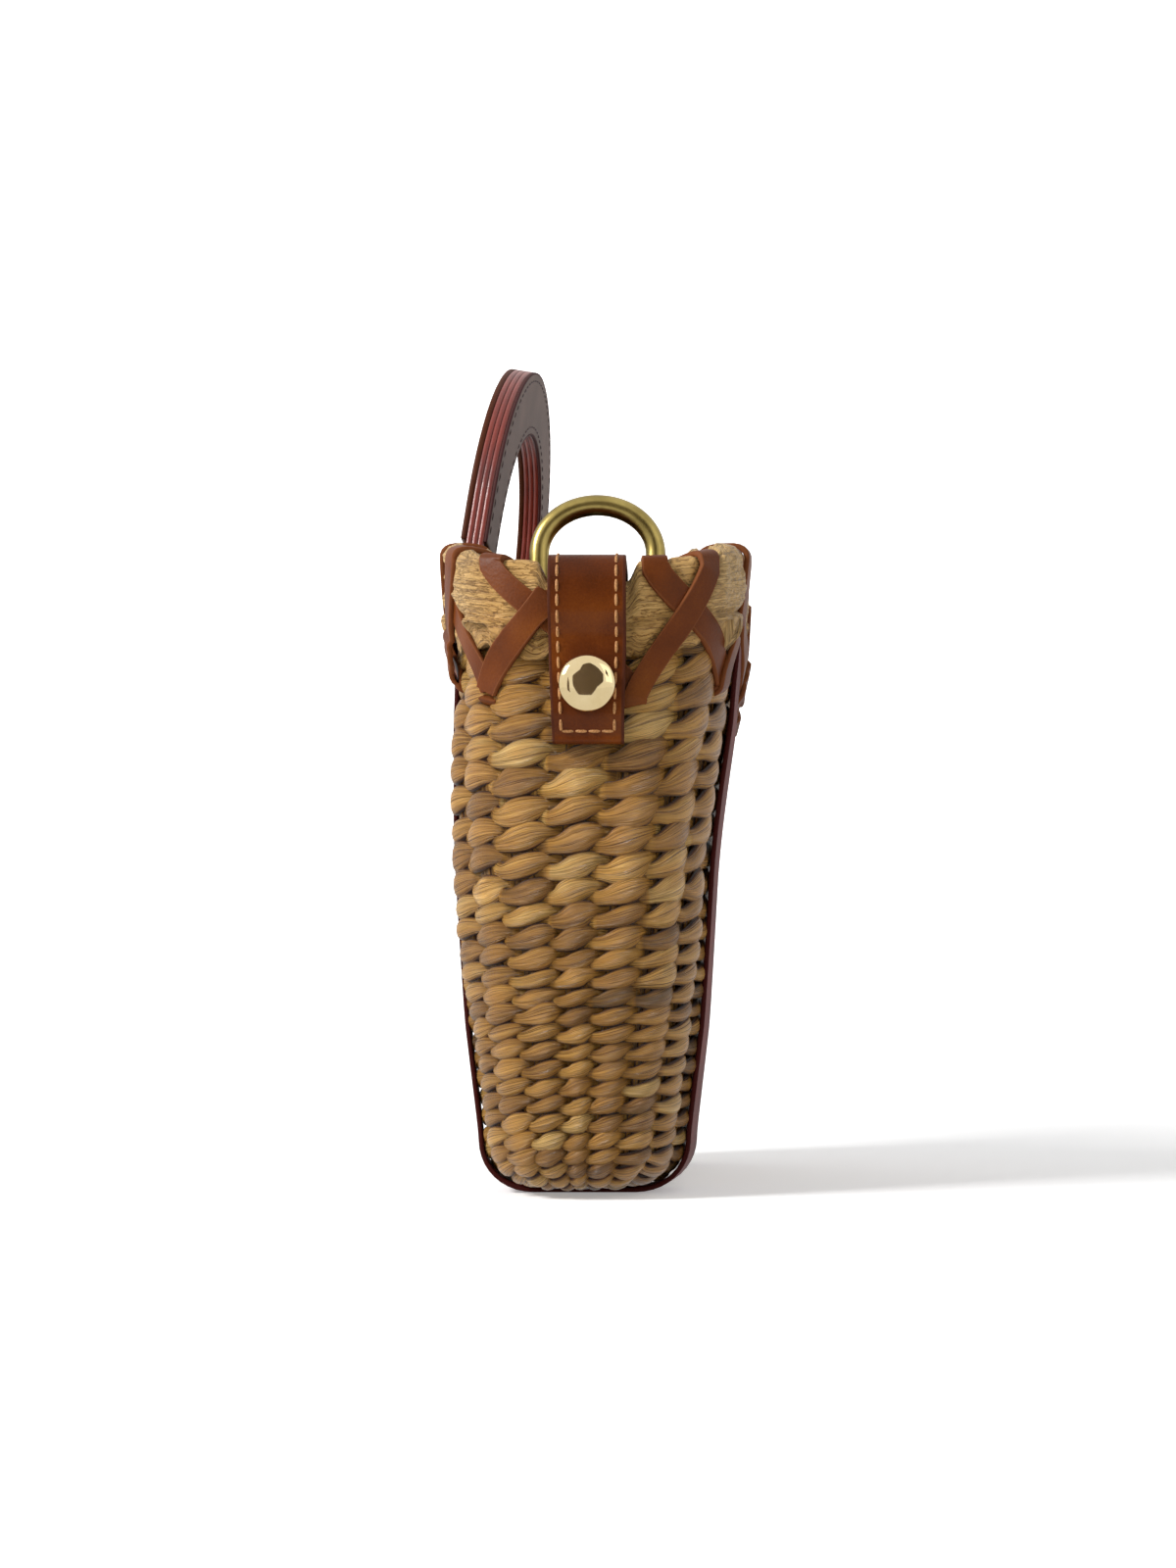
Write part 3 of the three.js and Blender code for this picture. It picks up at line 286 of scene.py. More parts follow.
class Net:
    """A short way to write a node tree: add() makes a node, sets its values and links its sockets."""

    def __init__(self, tree, owner=None):
        self.tree, self.owner = tree, owner

    def add(self, kind, inputs=None, output=0, **props):
        node = self.tree.nodes.new(kind)
        for key, value in props.items():
            setattr(node, key, value)
        for key, value in (inputs or {}).items():
            if isinstance(value, Value):
                self.tree.links.new(value.socket, node.inputs[key])
            else:
                node.inputs[key].default_value = value
        return Value(self, node.outputs[output]) if len(node.outputs) else None

    def math(self, operation, a, b=0.0, clamp=False):
        return self.add("ShaderNodeMath", {0: a, 1: b}, operation=operation, use_clamp=clamp)

    def vector(self, operation, a, b):
        second = "Scale" if operation == "SCALE" else 1
        return self.add("ShaderNodeVectorMath", {0: a, second: b}, operation=operation)

    def xyz(self, x, y, z):
        return self.add("ShaderNodeCombineXYZ", {0: x, 1: y, 2: z})

    def named(self, name, kind="FLOAT_VECTOR"):
        return self.add("GeometryNodeInputNamedAttribute", {"Name": name}, data_type=kind)

    def attribute(self, name, output):
        return self.add("ShaderNodeAttribute", output=output, attribute_name=name)

    def noise(self, place, scale, detail, roughness):
        """Noise whose scale is one number, or a tuple with one for each axis."""
        if isinstance(scale, tuple):
            place, scale = self.vector("MULTIPLY", place, scale), 1.0
        inputs = {"Vector": place, "Scale": scale, "Detail": detail, "Roughness": roughness}
        return self.add("ShaderNodeTexNoise", inputs)

    def ramp(self, value, *stops):
        shade = self.add("ShaderNodeValToRGB", {0: value})
        elements = shade.socket.node.color_ramp.elements
        while len(elements) < len(stops):
            elements.new(1.0)
        for element, (position, text) in zip(elements, stops):
            element.position = position
            element.color = colour(text)
        return shade

    def blend(self, factor, a, b, kind="MIX"):
        return self.add("ShaderNodeMix", {0: factor, 6: a, 7: b}, 2, data_type="RGBA", blend_type=kind)

    def darken(self, shade, share, value, *stops):
        """Multiplies a colour by a ramp over value."""
        return self.blend(share, shade, self.ramp(value, *stops), "MULTIPLY")

    def seen_by(self, *rays):
        """1 for the given kinds of ray, 0 for the others."""
        path = self.add("ShaderNodeLightPath")
        seen = path[rays[0]]
        for ray in rays[1:]:
            seen = self.math("MAXIMUM", seen, path[ray])
        return seen

    def close(self, shade, roughness, height, bump, bump_distance, gloss=0.5, **sockets):
        bumped = self.add("ShaderNodeBump", {"Strength": bump, "Distance": bump_distance, "Height": height})
        inputs = {"Base Color": shade, "Roughness": roughness, "Normal": bumped, "Specular IOR Level": gloss}
        surface = self.add("ShaderNodeBsdfPrincipled", {**inputs, **sockets})
        self.add("ShaderNodeOutputMaterial", {"Surface": surface})
        return self.owner


def colour(text):
    def linear(v):
        return v / 12.92 if v <= 0.04045 else ((v + 0.055) / 1.055) ** 2.4
    return tuple(linear(int(text[i:i + 2], 16) / 255) for i in (0, 2, 4)) + (1.0,)


def new_material(name):
    material = bpy.data.materials.new(name)
    material.use_nodes = True
    material.node_tree.nodes.clear()
    return Net(material.node_tree, material)


def straw_material():
    """Dried stem: fine lines along each strand, a tone of its own for each visible turn, painted shade at its
    edges.
    """
    net = new_material("dried_stem")
    place = net.attribute("fibre", "Vector")
    lines = net.noise(place, (11.0, 11.0, 0.03), 4.0, 0.65)
    fine = net.noise(place, (24.0, 24.0, 0.05), 2.0, 0.6)
    broad = net.noise(place, (2.2, 2.2, 0.05), 2.0, 0.5)
    blotch = net.noise(place, (1.0, 1.0, 0.09), 2.0, 0.5)
    value = net.attribute("tone", "Fac") + (blotch - 0.5) * 0.7
    shade = net.ramp(value, (0.0, "80602F"), (0.25, "A87A38"), (0.5, "CE9A4A"), (0.75, "E0AE5A"),
                     (1.0, "F0CA80"))
    shade = net.darken(shade, 0.78, lines, (0.36, "4E3216"), (0.5, "F2E2C4"), (0.62, "FFFFFF"))
    shade = net.darken(shade, 0.38, fine, (0.4, "8A6234"), (0.52, "FFFFFF"), (1.0, "FFFFFF"))
    # Painted shade: each strand and stem darkens toward the edges of its section, where it meets its
    # neighbours.
    own = net.add("ShaderNodeSeparateXYZ", {0: place})
    shade = net.darken(shade, 0.95, abs(own[1]), (0.0, "2A180A"), (0.32, "886434"), (0.66, "FFFFFF"))
    height = lines * 0.8 + broad * 0.9 + fine * 0.3
    return net.close(shade, lines * 0.24 + 0.18, height, 1.0, 0.0014, 0.62)


def leaf_material():
    """Folded leaf: fine lengthwise lines, soft creases, and cracked skin where the crepe attribute is 1."""
    net = new_material("folded_leaf")
    place = net.attribute("fibre", "Vector")
    lines = net.noise(place, (0.05, 2.6, 1.0), 5.0, 0.65)
    crease = net.noise(place, (0.16, 0.75, 1.0), 4.0, 0.6)
    wide = net.noise(place, (0.03, 0.12, 1.0), 2.0, 0.5)
    value = net.attribute("tone", "Fac") + (wide - 0.5) * 0.7
    shade = net.ramp(value, (0.0, "8C6634"), (0.3, "BC9250"), (0.55, "D8AE6A"), (0.8, "E6C282"),
                     (1.0, "F0D49A"))
    shade = net.darken(shade, 0.62, lines, (0.37, "7A5428"), (0.51, "F6EAD2"), (0.65, "FFFFFF"))
    # Painted shade: thin dark lines in the grooves that the bump sinks along the creases.
    crease_groove = abs(crease - 0.47)
    shade = net.darken(shade, 0.6, crease_groove, (0.0, "6E4A22"), (0.022, "E8D4AE"), (0.05, "FFFFFF"))
    crepe = net.attribute("crepe", "Fac")
    bark = net.vector("MULTIPLY", place, (0.42, 0.5, 1.0))
    cells = net.add("ShaderNodeTexVoronoi", {"Vector": bark, "Scale": 1.0}, feature="DISTANCE_TO_EDGE")
    ridge = net.ramp(cells, (0.0, "000000"), (0.22, "FFFFFF"), (1.0, "FFFFFF"))
    shade = net.blend(crepe * 0.25, shade, colour("C9B48E"))
    height = lines * 0.55 + crease * 1.1 + ridge * crepe * 0.55
    height = height + net.ramp(crease_groove, (0.0, "000000"), (0.03, "FFFFFF")) * 0.25
    return net.close(shade, lines * 0.24 + 0.36, height, 0.85, 0.0013, 0.45)


def leather_material(name, dark, middle, light, edge=None, rough=0.42, grain=1.0, coat=0.0, gloss=0.38):
    """Leather: pebbled grain, slow colour changes, and a raw edge where the edge attribute is 1."""
    net = new_material(name)
    place = net.add("ShaderNodeTexCoord")["Object"]
    fine = net.noise(place, 1900.0, 3.0, 0.6)
    cells = net.add("ShaderNodeTexVoronoi", {"Vector": place, "Scale": 1500.0}, feature="SMOOTH_F1")
    value = net.noise(place, 55.0, 2.0, 0.5) * 0.75 + fine * 0.25
    shade = net.ramp(value, (0.3, dark), (0.5, middle), (0.72, light))
    height = cells * (0.6 * grain) + fine * (0.5 * grain)
    roughness = fine * 0.16 + (rough - 0.08)
    if edge:
        fray = net.noise(place, 900.0, 3.0, 0.7)
        worn = net.math("ADD", net.attribute("edge", "Fac"), (fray - 0.5) * 0.35, clamp=True)
        sharp = net.ramp(worn, (0.45, "000000"), (0.7, "FFFFFF"), (1.0, "FFFFFF"))
        shade = net.blend(sharp, shade, colour(edge))
        height = height + fray * sharp * 1.5
        roughness = net.math("ADD", roughness, sharp * 0.2, clamp=True)
    return net.close(shade, roughness, height, 0.22, 0.0004, gloss, **{"Coat Weight": coat})


def metal_material(name, low, high, rough_low, rough_high, scale):
    net = new_material(name)
    patch = net.noise(net.add("ShaderNodeTexCoord")["Object"], scale, 4.0, 0.6)
    shade = net.ramp(patch, (0.35, low), (0.62, high))
    return net.close(shade, patch * (rough_high - rough_low) + rough_low, patch, 0.03, 0.0003, Metallic=1.0)


def thread_material(name, light, dark):
    net = new_material(name)
    strand = net.noise(net.add("ShaderNodeTexCoord")["Object"], 2600.0, 2.0, 0.6)
    return net.close(net.ramp(strand, (0.35, dark), (0.6, light)), 0.6, strand, 0.4, 0.0002)


STRAW = straw_material()
LEAF = leaf_material()
LACE = leather_material("lace_leather", "4C2206", "632E06", "773E0C", edge="74401E", rough=0.45, gloss=0.16)
TAN = leather_material("tab_leather", "3F1902", "572502", "723806", edge="481E07", rough=0.36, gloss=0.15)
OXBLOOD = leather_material("strap_leather", "46100A", "5A1812", "6C2218", edge="3A0C08", rough=0.55,
                           gloss=0.12)
BURGUNDY = leather_material("painted_edge", "602018", "782C20", "8A3A2C", rough=0.38, coat=0.12)
TAUPE = leather_material("lining_leather", "564238", "644E44", "725A50", edge="3E1614", rough=0.6, grain=0.8)
BRASS = metal_material("aged_brass", "8E7C46", "B09C5C", 0.24, 0.34, 110.0)
GOLD = metal_material("polished_gold", "DCC492", "E8D2A4", 0.04, 0.08, 90.0)
THREAD_TAN = thread_material("tan_thread", "BE8850", "8E5A2C")
THREAD_DARK = thread_material("dark_thread", "3A1C18", "240E0C")


# Geometry node trees that grow pieces from rails


def new_tree(name, *inputs):
    tree = bpy.data.node_groups.new(name, "GeometryNodeTree")
    for key, kind in (("Geometry", "Geometry"), *inputs, ("Material", "Material")):
        tree.interface.new_socket(key, in_out="INPUT", socket_type="NodeSocket" + kind)
    tree.interface.new_socket("Geometry", in_out="OUTPUT", socket_type="NodeSocketGeometry")
    net = Net(tree)
    return net, net.add("NodeGroupInput")


def finish_tree(net, geometry, material):
    real = net.add("GeometryNodeRealizeInstances", {"Geometry": geometry})
    shaded = net.add("GeometryNodeSetShadeSmooth", {"Geometry": real})
    dressed = net.add("GeometryNodeSetMaterial", {"Geometry": shaded, "Material": material})
    net.add("NodeGroupOutput", {0: dressed})
    return net.tree


def sweep_tree():
    """Sweeps a section along rails: its half-axes are the rails' own, its corners as square as given."""
    net, given = new_tree("sweep", ("Section Points", "Int"), ("Squareness", "Float"),
                          ("Crease Depth", "Float"), ("Crease Width", "Float"), ("Seed", "Float"))

    def keep(geometry, name, value, kind="FLOAT_VECTOR"):
        inputs = {"Geometry": geometry, "Name": name, "Value": value}
        return net.add("GeometryNodeStoreNamedAttribute", inputs, data_type=kind, domain="POINT")

    position = net.add("GeometryNodeInputPosition")
    rail = keep(net.add("GeometryNodeMeshToCurve", {0: given["Geometry"]}), "centre", position)
    size = {"Resolution": given["Section Points"], "Radius": 1.0}
    circle = net.add("GeometryNodeCurvePrimitiveCircle", size)
    parts = net.add("ShaderNodeSeparateXYZ", {0: position})
    power = net.math("DIVIDE", 1.0, given["Squareness"])
    axes = [net.math("POWER", abs(parts[k]), power) * net.math("SIGN", parts[k]) for k in (0, 1)]
    circle = keep(circle, "section", net.xyz(*axes, 0.0))
    swept = net.add("GeometryNodeCurveToMesh", {"Curve": rail, "Profile Curve": circle, "Fill Caps": True})
    own = net.add("ShaderNodeSeparateXYZ", {0: net.named("section")})
    along = net.named("along", "FLOAT")
    offset = net.vector("ADD", net.vector("SCALE", net.named("across"), own[0]),
                        net.vector("SCALE", net.named("outward"), own[1]))
    place = net.xyz(own[0] * given["Crease Width"], own[1] * given["Crease Width"], along * 0.06)
    ripple = net.add("ShaderNodeTexNoise", {"Vector": place, "W": given["Seed"], "Scale": 1.0, "Detail": 2.0},
                     noise_dimensions="4D")
    offset = net.vector("SCALE", offset, (ripple - 0.5) * given["Crease Depth"] + 1.0)
    goal = net.vector("ADD", net.named("centre"), offset)
    swept = net.add("GeometryNodeSetPosition", {"Geometry": swept, "Position": goal})
    swept = keep(swept, "fibre", net.xyz(own[0], own[1], along))
    swept = keep(swept, "edge", net.math("GREATER_THAN", abs(own[0]), 0.93), "FLOAT")
    return finish_tree(net, swept, given["Material"])


def stitch_tree():
    """One arched thread at each point, turned to lie along its seam."""
    net, given = new_tree("stitches", ("Stitch Length", "Float"), ("Thread Radius", "Float"))
    half, radius = given["Stitch Length"] * 0.5, given["Thread Radius"]
    low, middle = radius * -1.1, net.xyz(0.0, 0.0, radius * 1.7)
    ends = {"Start": net.xyz(half * -1.0, 0.0, low), "Middle": middle, "End": net.xyz(half, 0.0, low)}
    arch = net.add("GeometryNodeCurveQuadraticBezier", {"Resolution": 6, **ends})
    ring = net.add("GeometryNodeCurvePrimitiveCircle", {"Resolution": 6, "Radius": radius})
    thread = net.add("GeometryNodeCurveToMesh", {"Curve": arch, "Profile Curve": ring, "Fill Caps": True})
    axes = {"Primary Axis": net.named("across"), "Secondary Axis": net.named("outward")}
    turned = net.add("FunctionNodeAxesToRotation", axes, primary_axis="X", secondary_axis="Z")
    points = net.add("GeometryNodeMeshToPoints", {0: given["Geometry"]})
    placing = {"Points": points, "Instance": thread, "Rotation": turned}
    return finish_tree(net, net.add("GeometryNodeInstanceOnPoints", placing), given["Material"])


SWEEP = sweep_tree()
STITCHES = stitch_tree()


# Meshes and objects


def add_object(name, data):
    obj = bpy.data.objects.new(name, data)
    bpy.context.scene.collection.objects.link(obj)
    return obj


def shade_smooth(mesh):
    mesh.polygons.foreach_set("use_smooth", [True] * len(mesh.polygons))


def mesh_object(name, points, faces, material):
    mesh = bpy.data.meshes.new(name)
    mesh.from_pydata(np.asarray(points, float).tolist(), [], faces)
    mesh.materials.append(material)
    shade_smooth(mesh)
    return add_object(name, mesh)


def set_attribute(mesh, name, values):
    kind, field = ("FLOAT_VECTOR", "vector") if values.ndim == 2 else ("FLOAT", "value")
    data = mesh.attributes.new(name, kind, "POINT").data
    data.foreach_set(field, values.ravel().astype(np.float32))


def face_outward(obj, closed=True):
    """Turns the faces outward, after joining doubled points and filling open ends if it isn't closed."""
    bm = bmesh.new()
    bm.from_mesh(obj.data)
    if not closed:
        bmesh.ops.remove_doubles(bm, verts=bm.verts, dist=1e-6)
        bmesh.ops.holes_fill(bm, edges=[e for e in bm.edges if e.is_boundary], sides=64)
    bmesh.ops.recalc_face_normals(bm, faces=bm.faces)
    bm.to_mesh(obj.data)
    bm.free()


def settle(obj, body, nodes=()):
    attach(obj, body)
    if nodes:
        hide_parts(*nodes)


def make_rail(centre, across, outward, closed=False, tone=0.5, offset=0.0):
    """A polyline with the two half-axes of its section, the length along and a tone at each point."""
    centre, across, outward = (np.asarray(part, float) for part in (centre, across, outward))
    along, tone = lengths(centre) + offset, np.broadcast_to(tone, (len(centre),))
    return {"centre": centre, "across": across, "outward": outward, "along": along, "tone": tone,
            "closed": closed}


def strip_rail(centre, across, outward, nose):
    """An open rail with a short rounded nose at both ends."""
    centre, across, outward = (np.asarray(a, float) for a in (centre, across, outward))
    turn = np.radians((30, 60, 85))[:, None]
    noses = []
    for at, toward in ((0, 1), (-1, -2)):
        step = unit(centre[at] - centre[toward])
        noses.append((centre[at] + step * nose * np.sin(turn), across[at] * (1 - 0.03 * (1 - np.cos(turn))),
                      outward[at] * np.maximum(np.cos(turn), 0.12)))
    middle = (centre, across, outward)
    return make_rail(*(np.concatenate([a[::-1], body, b]) for a, body, b in zip(noses[0], middle, noses[1])))


def grown(name, rails, tree, values):
    """Runs a tree on rails and returns the plain mesh that comes out, in an object of its own."""
    mesh = bpy.data.meshes.new(name)
    edges, first = [], 0
    for rail in rails:
        count = len(rail["centre"])
        edges += [(first + i, first + (i + 1) % count) for i in range(count if rail["closed"] else count - 1)]
        first += count

    def joined(key):
        return np.concatenate([rail[key] for rail in rails])

    mesh.from_pydata((joined("centre") * MM).tolist(), edges, [])
    for key, scale in (("across", MM), ("outward", MM), ("along", 1), ("tone", 1)):
        set_attribute(mesh, key, joined(key) * scale)
    source = add_object(name + "_rails", mesh)
    modifier = source.modifiers.new("grow", "NODES")
    modifier.node_group = tree
    for item in tree.interface.items_tree:
        if item.item_type == "SOCKET" and item.in_out == "INPUT" and item.name in values:
            modifier[item.identifier] = values[item.name]
    bpy.context.view_layer.update()
    done = bpy.data.meshes.new_from_object(source.evaluated_get(bpy.context.evaluated_depsgraph_get()))
    bpy.data.objects.remove(source)
    bpy.data.meshes.remove(mesh)
    done.name = name
    obj = add_object(name, done)
    face_outward(obj)
    return obj


def swept(name, rails, material, section, crease=(0.0, 1.5, 1.0)):
    """A section swept along rails; a crease is (depth, width, seed)."""
    keys = ("Section Points", "Squareness", "Crease Depth", "Crease Width", "Seed", "Material")
    return grown(name, rails, SWEEP, dict(zip(keys, (*section, *crease, material))))


def sweep(name, rails, material, body, slot, nodes, *form):
    settle(swept(name, rails, material, *form), body, nodes)


# Weave: surface of the body by distance round the rim and length up from the base's edge

rng = np.random.default_rng(7)
CORNER_ARC = BASE_CORNER_RADIUS * math.pi / 2
CORNER_TOP = BASE_HEIGHT + BASE_CORNER_RADIUS
END_WALL = RIM_HEIGHT_END - BAND_OUTER_DROP - CORNER_TOP


def foot_lean(z):
    """The basket's foot stands a little toward the front of its rim."""
    return FOOT_LEAN * (1 - smooth(*FOOT_LEAN_FADE, z))


def wall_swell(z):
    """The weave stands out a little from the wall's plain face, more at the foot."""
    return mix(SWELL_FOOT, SWELL_TOP, smooth(*SWELL_CHANGE, z)) * (1 - smooth(*SWELL_FADE, z))


def side_bulge(distance, z):
    """The front wall bulges between each strap and its corner, the back wall a little."""
    far, near = BULGE_REACH
    side = smooth(-far, -near, -np.abs(distance_to_end(distance) - BULGE_PLACE))
    front = np.where(np.mod(distance, RIM_LENGTH) > RIM_LENGTH / 2, 1.0, BACK_BULGE_SHARE)
    rise = smooth(*BULGE_RISE, z) * (1 - smooth(*BULGE_FADE, z))
    return SIDE_BULGE * side * front * rise


def weave_surface(distance, up):
    """Point on the outer face: up is 0 where the base turns into the corner, negative under the base."""
    turn = np.clip(up / CORNER_ARC, 0, 1) * math.pi / 2
    inset = BASE_CORNER_RADIUS * (1 - np.sin(turn)) - np.minimum(up, 0)
    scale = (rim_top(distance) - BAND_OUTER_DROP - CORNER_TOP) / END_WALL
    z = BASE_HEIGHT + BASE_CORNER_RADIUS * (1 - np.cos(turn)) + np.maximum(up - CORNER_ARC, 0) * scale
    proud = (wall_swell(z) + side_bulge(distance, z)) * np.sin(turn)
    inset = np.minimum(inset, BODY_HALF_WIDTH - BASE_MIDDLE_GAP) - proud
    p = plan_point(rim_angle(distance), z, inset)
    return columns(p[..., 0], p[..., 1] + foot_lean(z), z)


def weave_frame(distance, up, step=0.4):
    """Surface point with its along, up and outward unit vectors."""
    along = unit(weave_surface(distance + step, up) - weave_surface(distance - step, up))
    rise = square_to(weave_surface(distance, up + step) - weave_surface(distance, up - step), along)
    return weave_surface(distance, up), along, rise, np.cross(along, rise)


def stake_crowding(up):
    return STAKE_CROWDING * (1 - smooth(0, STAKE_CROWDING_TOP, up))


def stake_distance(column, up):
    share = column / STAKES
    return (share - stake_crowding(up) / (4 * math.pi) * np.sin(4 * math.pi * share)) * RIM_LENGTH


def row_pitch(up):
    return mix(ROW_PITCH_FOOT, ROW_PITCH_TOP, float(smooth(*ROW_CHANGE, up - CORNER_ARC + CORNER_TOP)))


def row_lengths():
    """Middles of the rows, from near the middle of the base to under the rim band."""
    furrow = CORNER_ARC
    rows = [furrow - ROW_PITCH_FOOT * (i + 0.5) for i in range(8)][::-1]
    while furrow < CORNER_ARC + END_WALL + 3:
        rows.append(furrow + row_pitch(furrow) / 2)
        furrow += row_pitch(furrow)
    return rows


def strand_rail(up, phase, number):
    """One strand of a twined pair: outside every second stake, its end tucked behind the next strand."""
    column = STAKES // 2 + 1 - phase + np.arange(STAKES * STEPS_PER_STAKE) / STEPS_PER_STAKE
    turn = math.pi * (column + phase)
    pitch = row_pitch(up)
    segment = np.floor(column + 0.5).astype(int) % STAKES
    sideways, taller, higher, prouder = np.clip(rng.normal(size=(4, STAKES)), -1.9, 1.9)[:, segment]
    fade = np.abs(np.cos(math.pi * column))
    over = (np.cos(turn) ** 2 + 0.01) ** STRAND_TAPER
    half_height = pitch * mix(STRAND_HEIGHT[0], STRAND_HEIGHT[1] * (1 + STRAND_DRIFT[1] * taller), over)
    half_depth = mix(*STRAND_DEPTH, np.cos(turn) ** 2)
    lift = pitch * STRAND_CLIMB * np.sin(turn) + STRAND_DRIFT[2] * pitch * higher * fade
    distances = np.mod(stake_distance(column + STRAND_DRIFT[0] * sideways * fade, up), RIM_LENGTH)
    point, along, rise, outward = weave_frame(distances, np.full(len(column), up) + lift)
    wave = np.cos(turn + WEAVE_LEAD)
    from_strap = np.abs(distance_to_end(distances) - LEG_DISTANCE)
    pressed = 1 - smooth(*(HANDLE_LEG_WIDTH / 2 + reach for reach in PRESS_REACH), from_strap)
    swing = WEAVE_SWING + STRAND_DRIFT[3] * prouder * fade - PRESS_FLAT * pressed
    depth = WEAVE_MIDDLE + PRESS_DEPTH * pressed - swing * np.sign(wave) * np.abs(wave) ** 0.75
    centre = point - outward * depth[:, None]
    tangent = unit(np.roll(centre, -1, 0) - np.roll(centre, 1, 0))
    across = square_to(rise, tangent)
    thick = np.cross(tangent, across)
    tone = np.clip(0.54 + 0.2 * rng.normal(size=STAKES), 0.02, 1.0)[segment]
    return make_rail(centre, across * half_height[:, None], thick * half_depth[:, None], True, tone,
                     STRAND_SHIFT * number)


def build_weave():
    rows = row_lengths()
    number = 0
    for index, group in enumerate((rows[:8], rows[8:16], rows[16:23], rows[23:])):
        rails = []
        for up in group:
            for phase in (0, 1):
                rails.append(strand_rail(up, phase, number))
                number += 1
        sweep(f"twined_rows_{index + 1}", rails, STRAW, "basket", "straw", ("basket_shell",), ROUND,
              (0.12, 2.0, index + 1.0))


def build_stakes():
    """Each stake is a bundle of stems, the outer ones sunk."""
    rails = []
    top = CORNER_ARC + END_WALL + 12
    ups = np.concatenate([np.linspace(-22, CORNER_ARC, 18), np.linspace(CORNER_ARC, top, 44)[1:]])
    middle = (STEMS - 1) / 2
    for column in range(STAKES):
        crowded = stake_crowding(ups) * math.cos(4 * math.pi * column / STAKES)
        width = STAKE_WIDTH * (RIM_LENGTH / STAKES * (1 - crowded))
        distances = np.mod(stake_distance(np.full(len(ups), float(column)), ups), RIM_LENGTH)
        point, along, rise, outward = weave_frame(distances, ups)
        for stem in range(STEMS):
            side = (stem - middle) / STEMS * width
            sunk = STEM_SINK * (abs(stem - middle) / middle) ** 2
            wobble = STEM_WOBBLE * np.sin(ups / 6.0 + 2.1 * stem + column)
            depth = WEAVE_MIDDLE - STEM_PROUD + sunk + wobble
            centre = point - outward * depth[:, None] + along * side[:, None]
            # Painted shade: stems take a lower tone than the strands, because the stakes lie back between
            # them.
            tone = float(np.clip(0.4 + 0.1 * rng.normal(), 0.1, 0.9))
            across = along * (width / STAKE_IN_HALF_STEMS)[:, None]
            shift = STEM_SHIFT * (column * STEMS + stem)
            rails.append(make_rail(centre, across, outward * STEM_HALF_DEPTH, False, tone, shift))
    sweep("stakes", rails, STRAW, "basket", "straw", (), STEM_ROUND)


# Laces: the same track as in the CAD source, in finer steps

LOOP_OUT = BAND_PROUD + LACE_SEAT
LOOP_IN = BAND_INNER_FACE - LACE_SEAT
LOOP_RUN = LACE_DEPTH - BAND_EDGE_DROP
LOOP_TURN = LOOP_OUT - LOOP_IN + BAND_EDGE_DROP
LOOP_LENGTH = 2 * LOOP_RUN + 2 * LOOP_TURN
LOOP_ROUNDNESS = 0.7
RUN_STEPS, TURN_STEPS, INNER_STEPS = 26, 12, 14


def nearest_turn(value, turn):
    return value - turn * round(value / turn)


def beside_handle(distance):
    half = RIM_LENGTH / 2
    base = math.floor(distance / half) * half
    for leg in (base + LEG_DISTANCE, base + half - LEG_DISTANCE):
        if abs(distance - leg) < LACE_CLEAR_OF_HANDLE:
            return leg + (1 if distance >= leg else -1) * LACE_CLEAR_OF_HANDLE
    return distance


def lace_wraps():
    """For each pitch the over lace's and the under lace's (start, top, end) round the rim."""
    half_rim = RIM_LENGTH / 2
    holes = [LACE_HOLE_FIRST_SHARE * half_rim]
    for share in LACE_HOLE_PITCH_SHARES:
        holes.append(holes[-1] + share * half_rim)
    holes += [hole + half_rim for hole in holes]
    wraps = []
    for here, after in zip(holes, holes[1:] + [holes[0] + RIM_LENGTH]):
        over_top = beside_handle(here + LACE_OVER_SHARE * (after - here))
        under_top = beside_handle(after - LACE_UNDER_SHARE * (after - here))
        wraps.append(((here, over_top, after), (after, under_top, here)))
    return wraps


def lace_outside(wrap, climb):
    return mix(wrap[0], wrap[1], mix(climb, ease(0, 1, climb), LACE_EASE))


def lace_inside(wrap, climb):
    return lace_outside(wrap[::-1], climb)


def round_turn(share):
    c, s = math.cos(share * math.pi), math.sin(share * math.pi)
    return math.copysign(abs(c) ** LOOP_ROUNDNESS, c), abs(s) ** LOOP_ROUNDNESS


def loop_point(length, height):
    """Place in the wall's section; a lace sinks between the weave's strands on its way to a hole."""
    at = length % LOOP_LENGTH
    sink = 1 - ease(0.04, 0.5, at / LOOP_RUN) if at < LOOP_RUN else at > 2 * LOOP_RUN + LOOP_TURN
    height -= HOLE_SINK * sink
    outside, inside = LOOP_OUT + height, LOOP_IN - height
    if at < LOOP_RUN:
        return outside, at - LACE_DEPTH
    middle, reach = (outside + inside) / 2, (outside - inside) / 2
    past_top = at - LOOP_RUN
    if past_top < LOOP_TURN:
        flat, rise = round_turn(past_top / LOOP_TURN)
        return middle + reach * flat, -BAND_EDGE_DROP + (BAND_EDGE_DROP + LACE_SEAT + height) * rise
    past_inside = past_top - LOOP_TURN
    if past_inside < LOOP_RUN:
        return inside, -BAND_EDGE_DROP - past_inside
    flat, rise = round_turn((past_inside - LOOP_RUN) / LOOP_TURN)
    return middle - reach * flat, -LACE_DEPTH - (LACE_BEND_DEPTH + height) * rise


def lace_slope(place, wrap, climb):
    return (place(wrap, climb + 0.01) - place(wrap, climb - 0.01)) / (0.02 * LOOP_RUN)


def strap_lift(distance, climb):
    """Only below the band, because the band covers the strap's top."""
    near = HANDLE_LEG_WIDTH / 2 + LACE_WIDTH / 2
    away = abs(float(distance_to_end(distance)) - LEG_DISTANCE)
    return STRAP_THICKNESS * (1 - ease(near, near + LACE_FADE, away)) * (1 - ease(0.25, 0.5, climb))


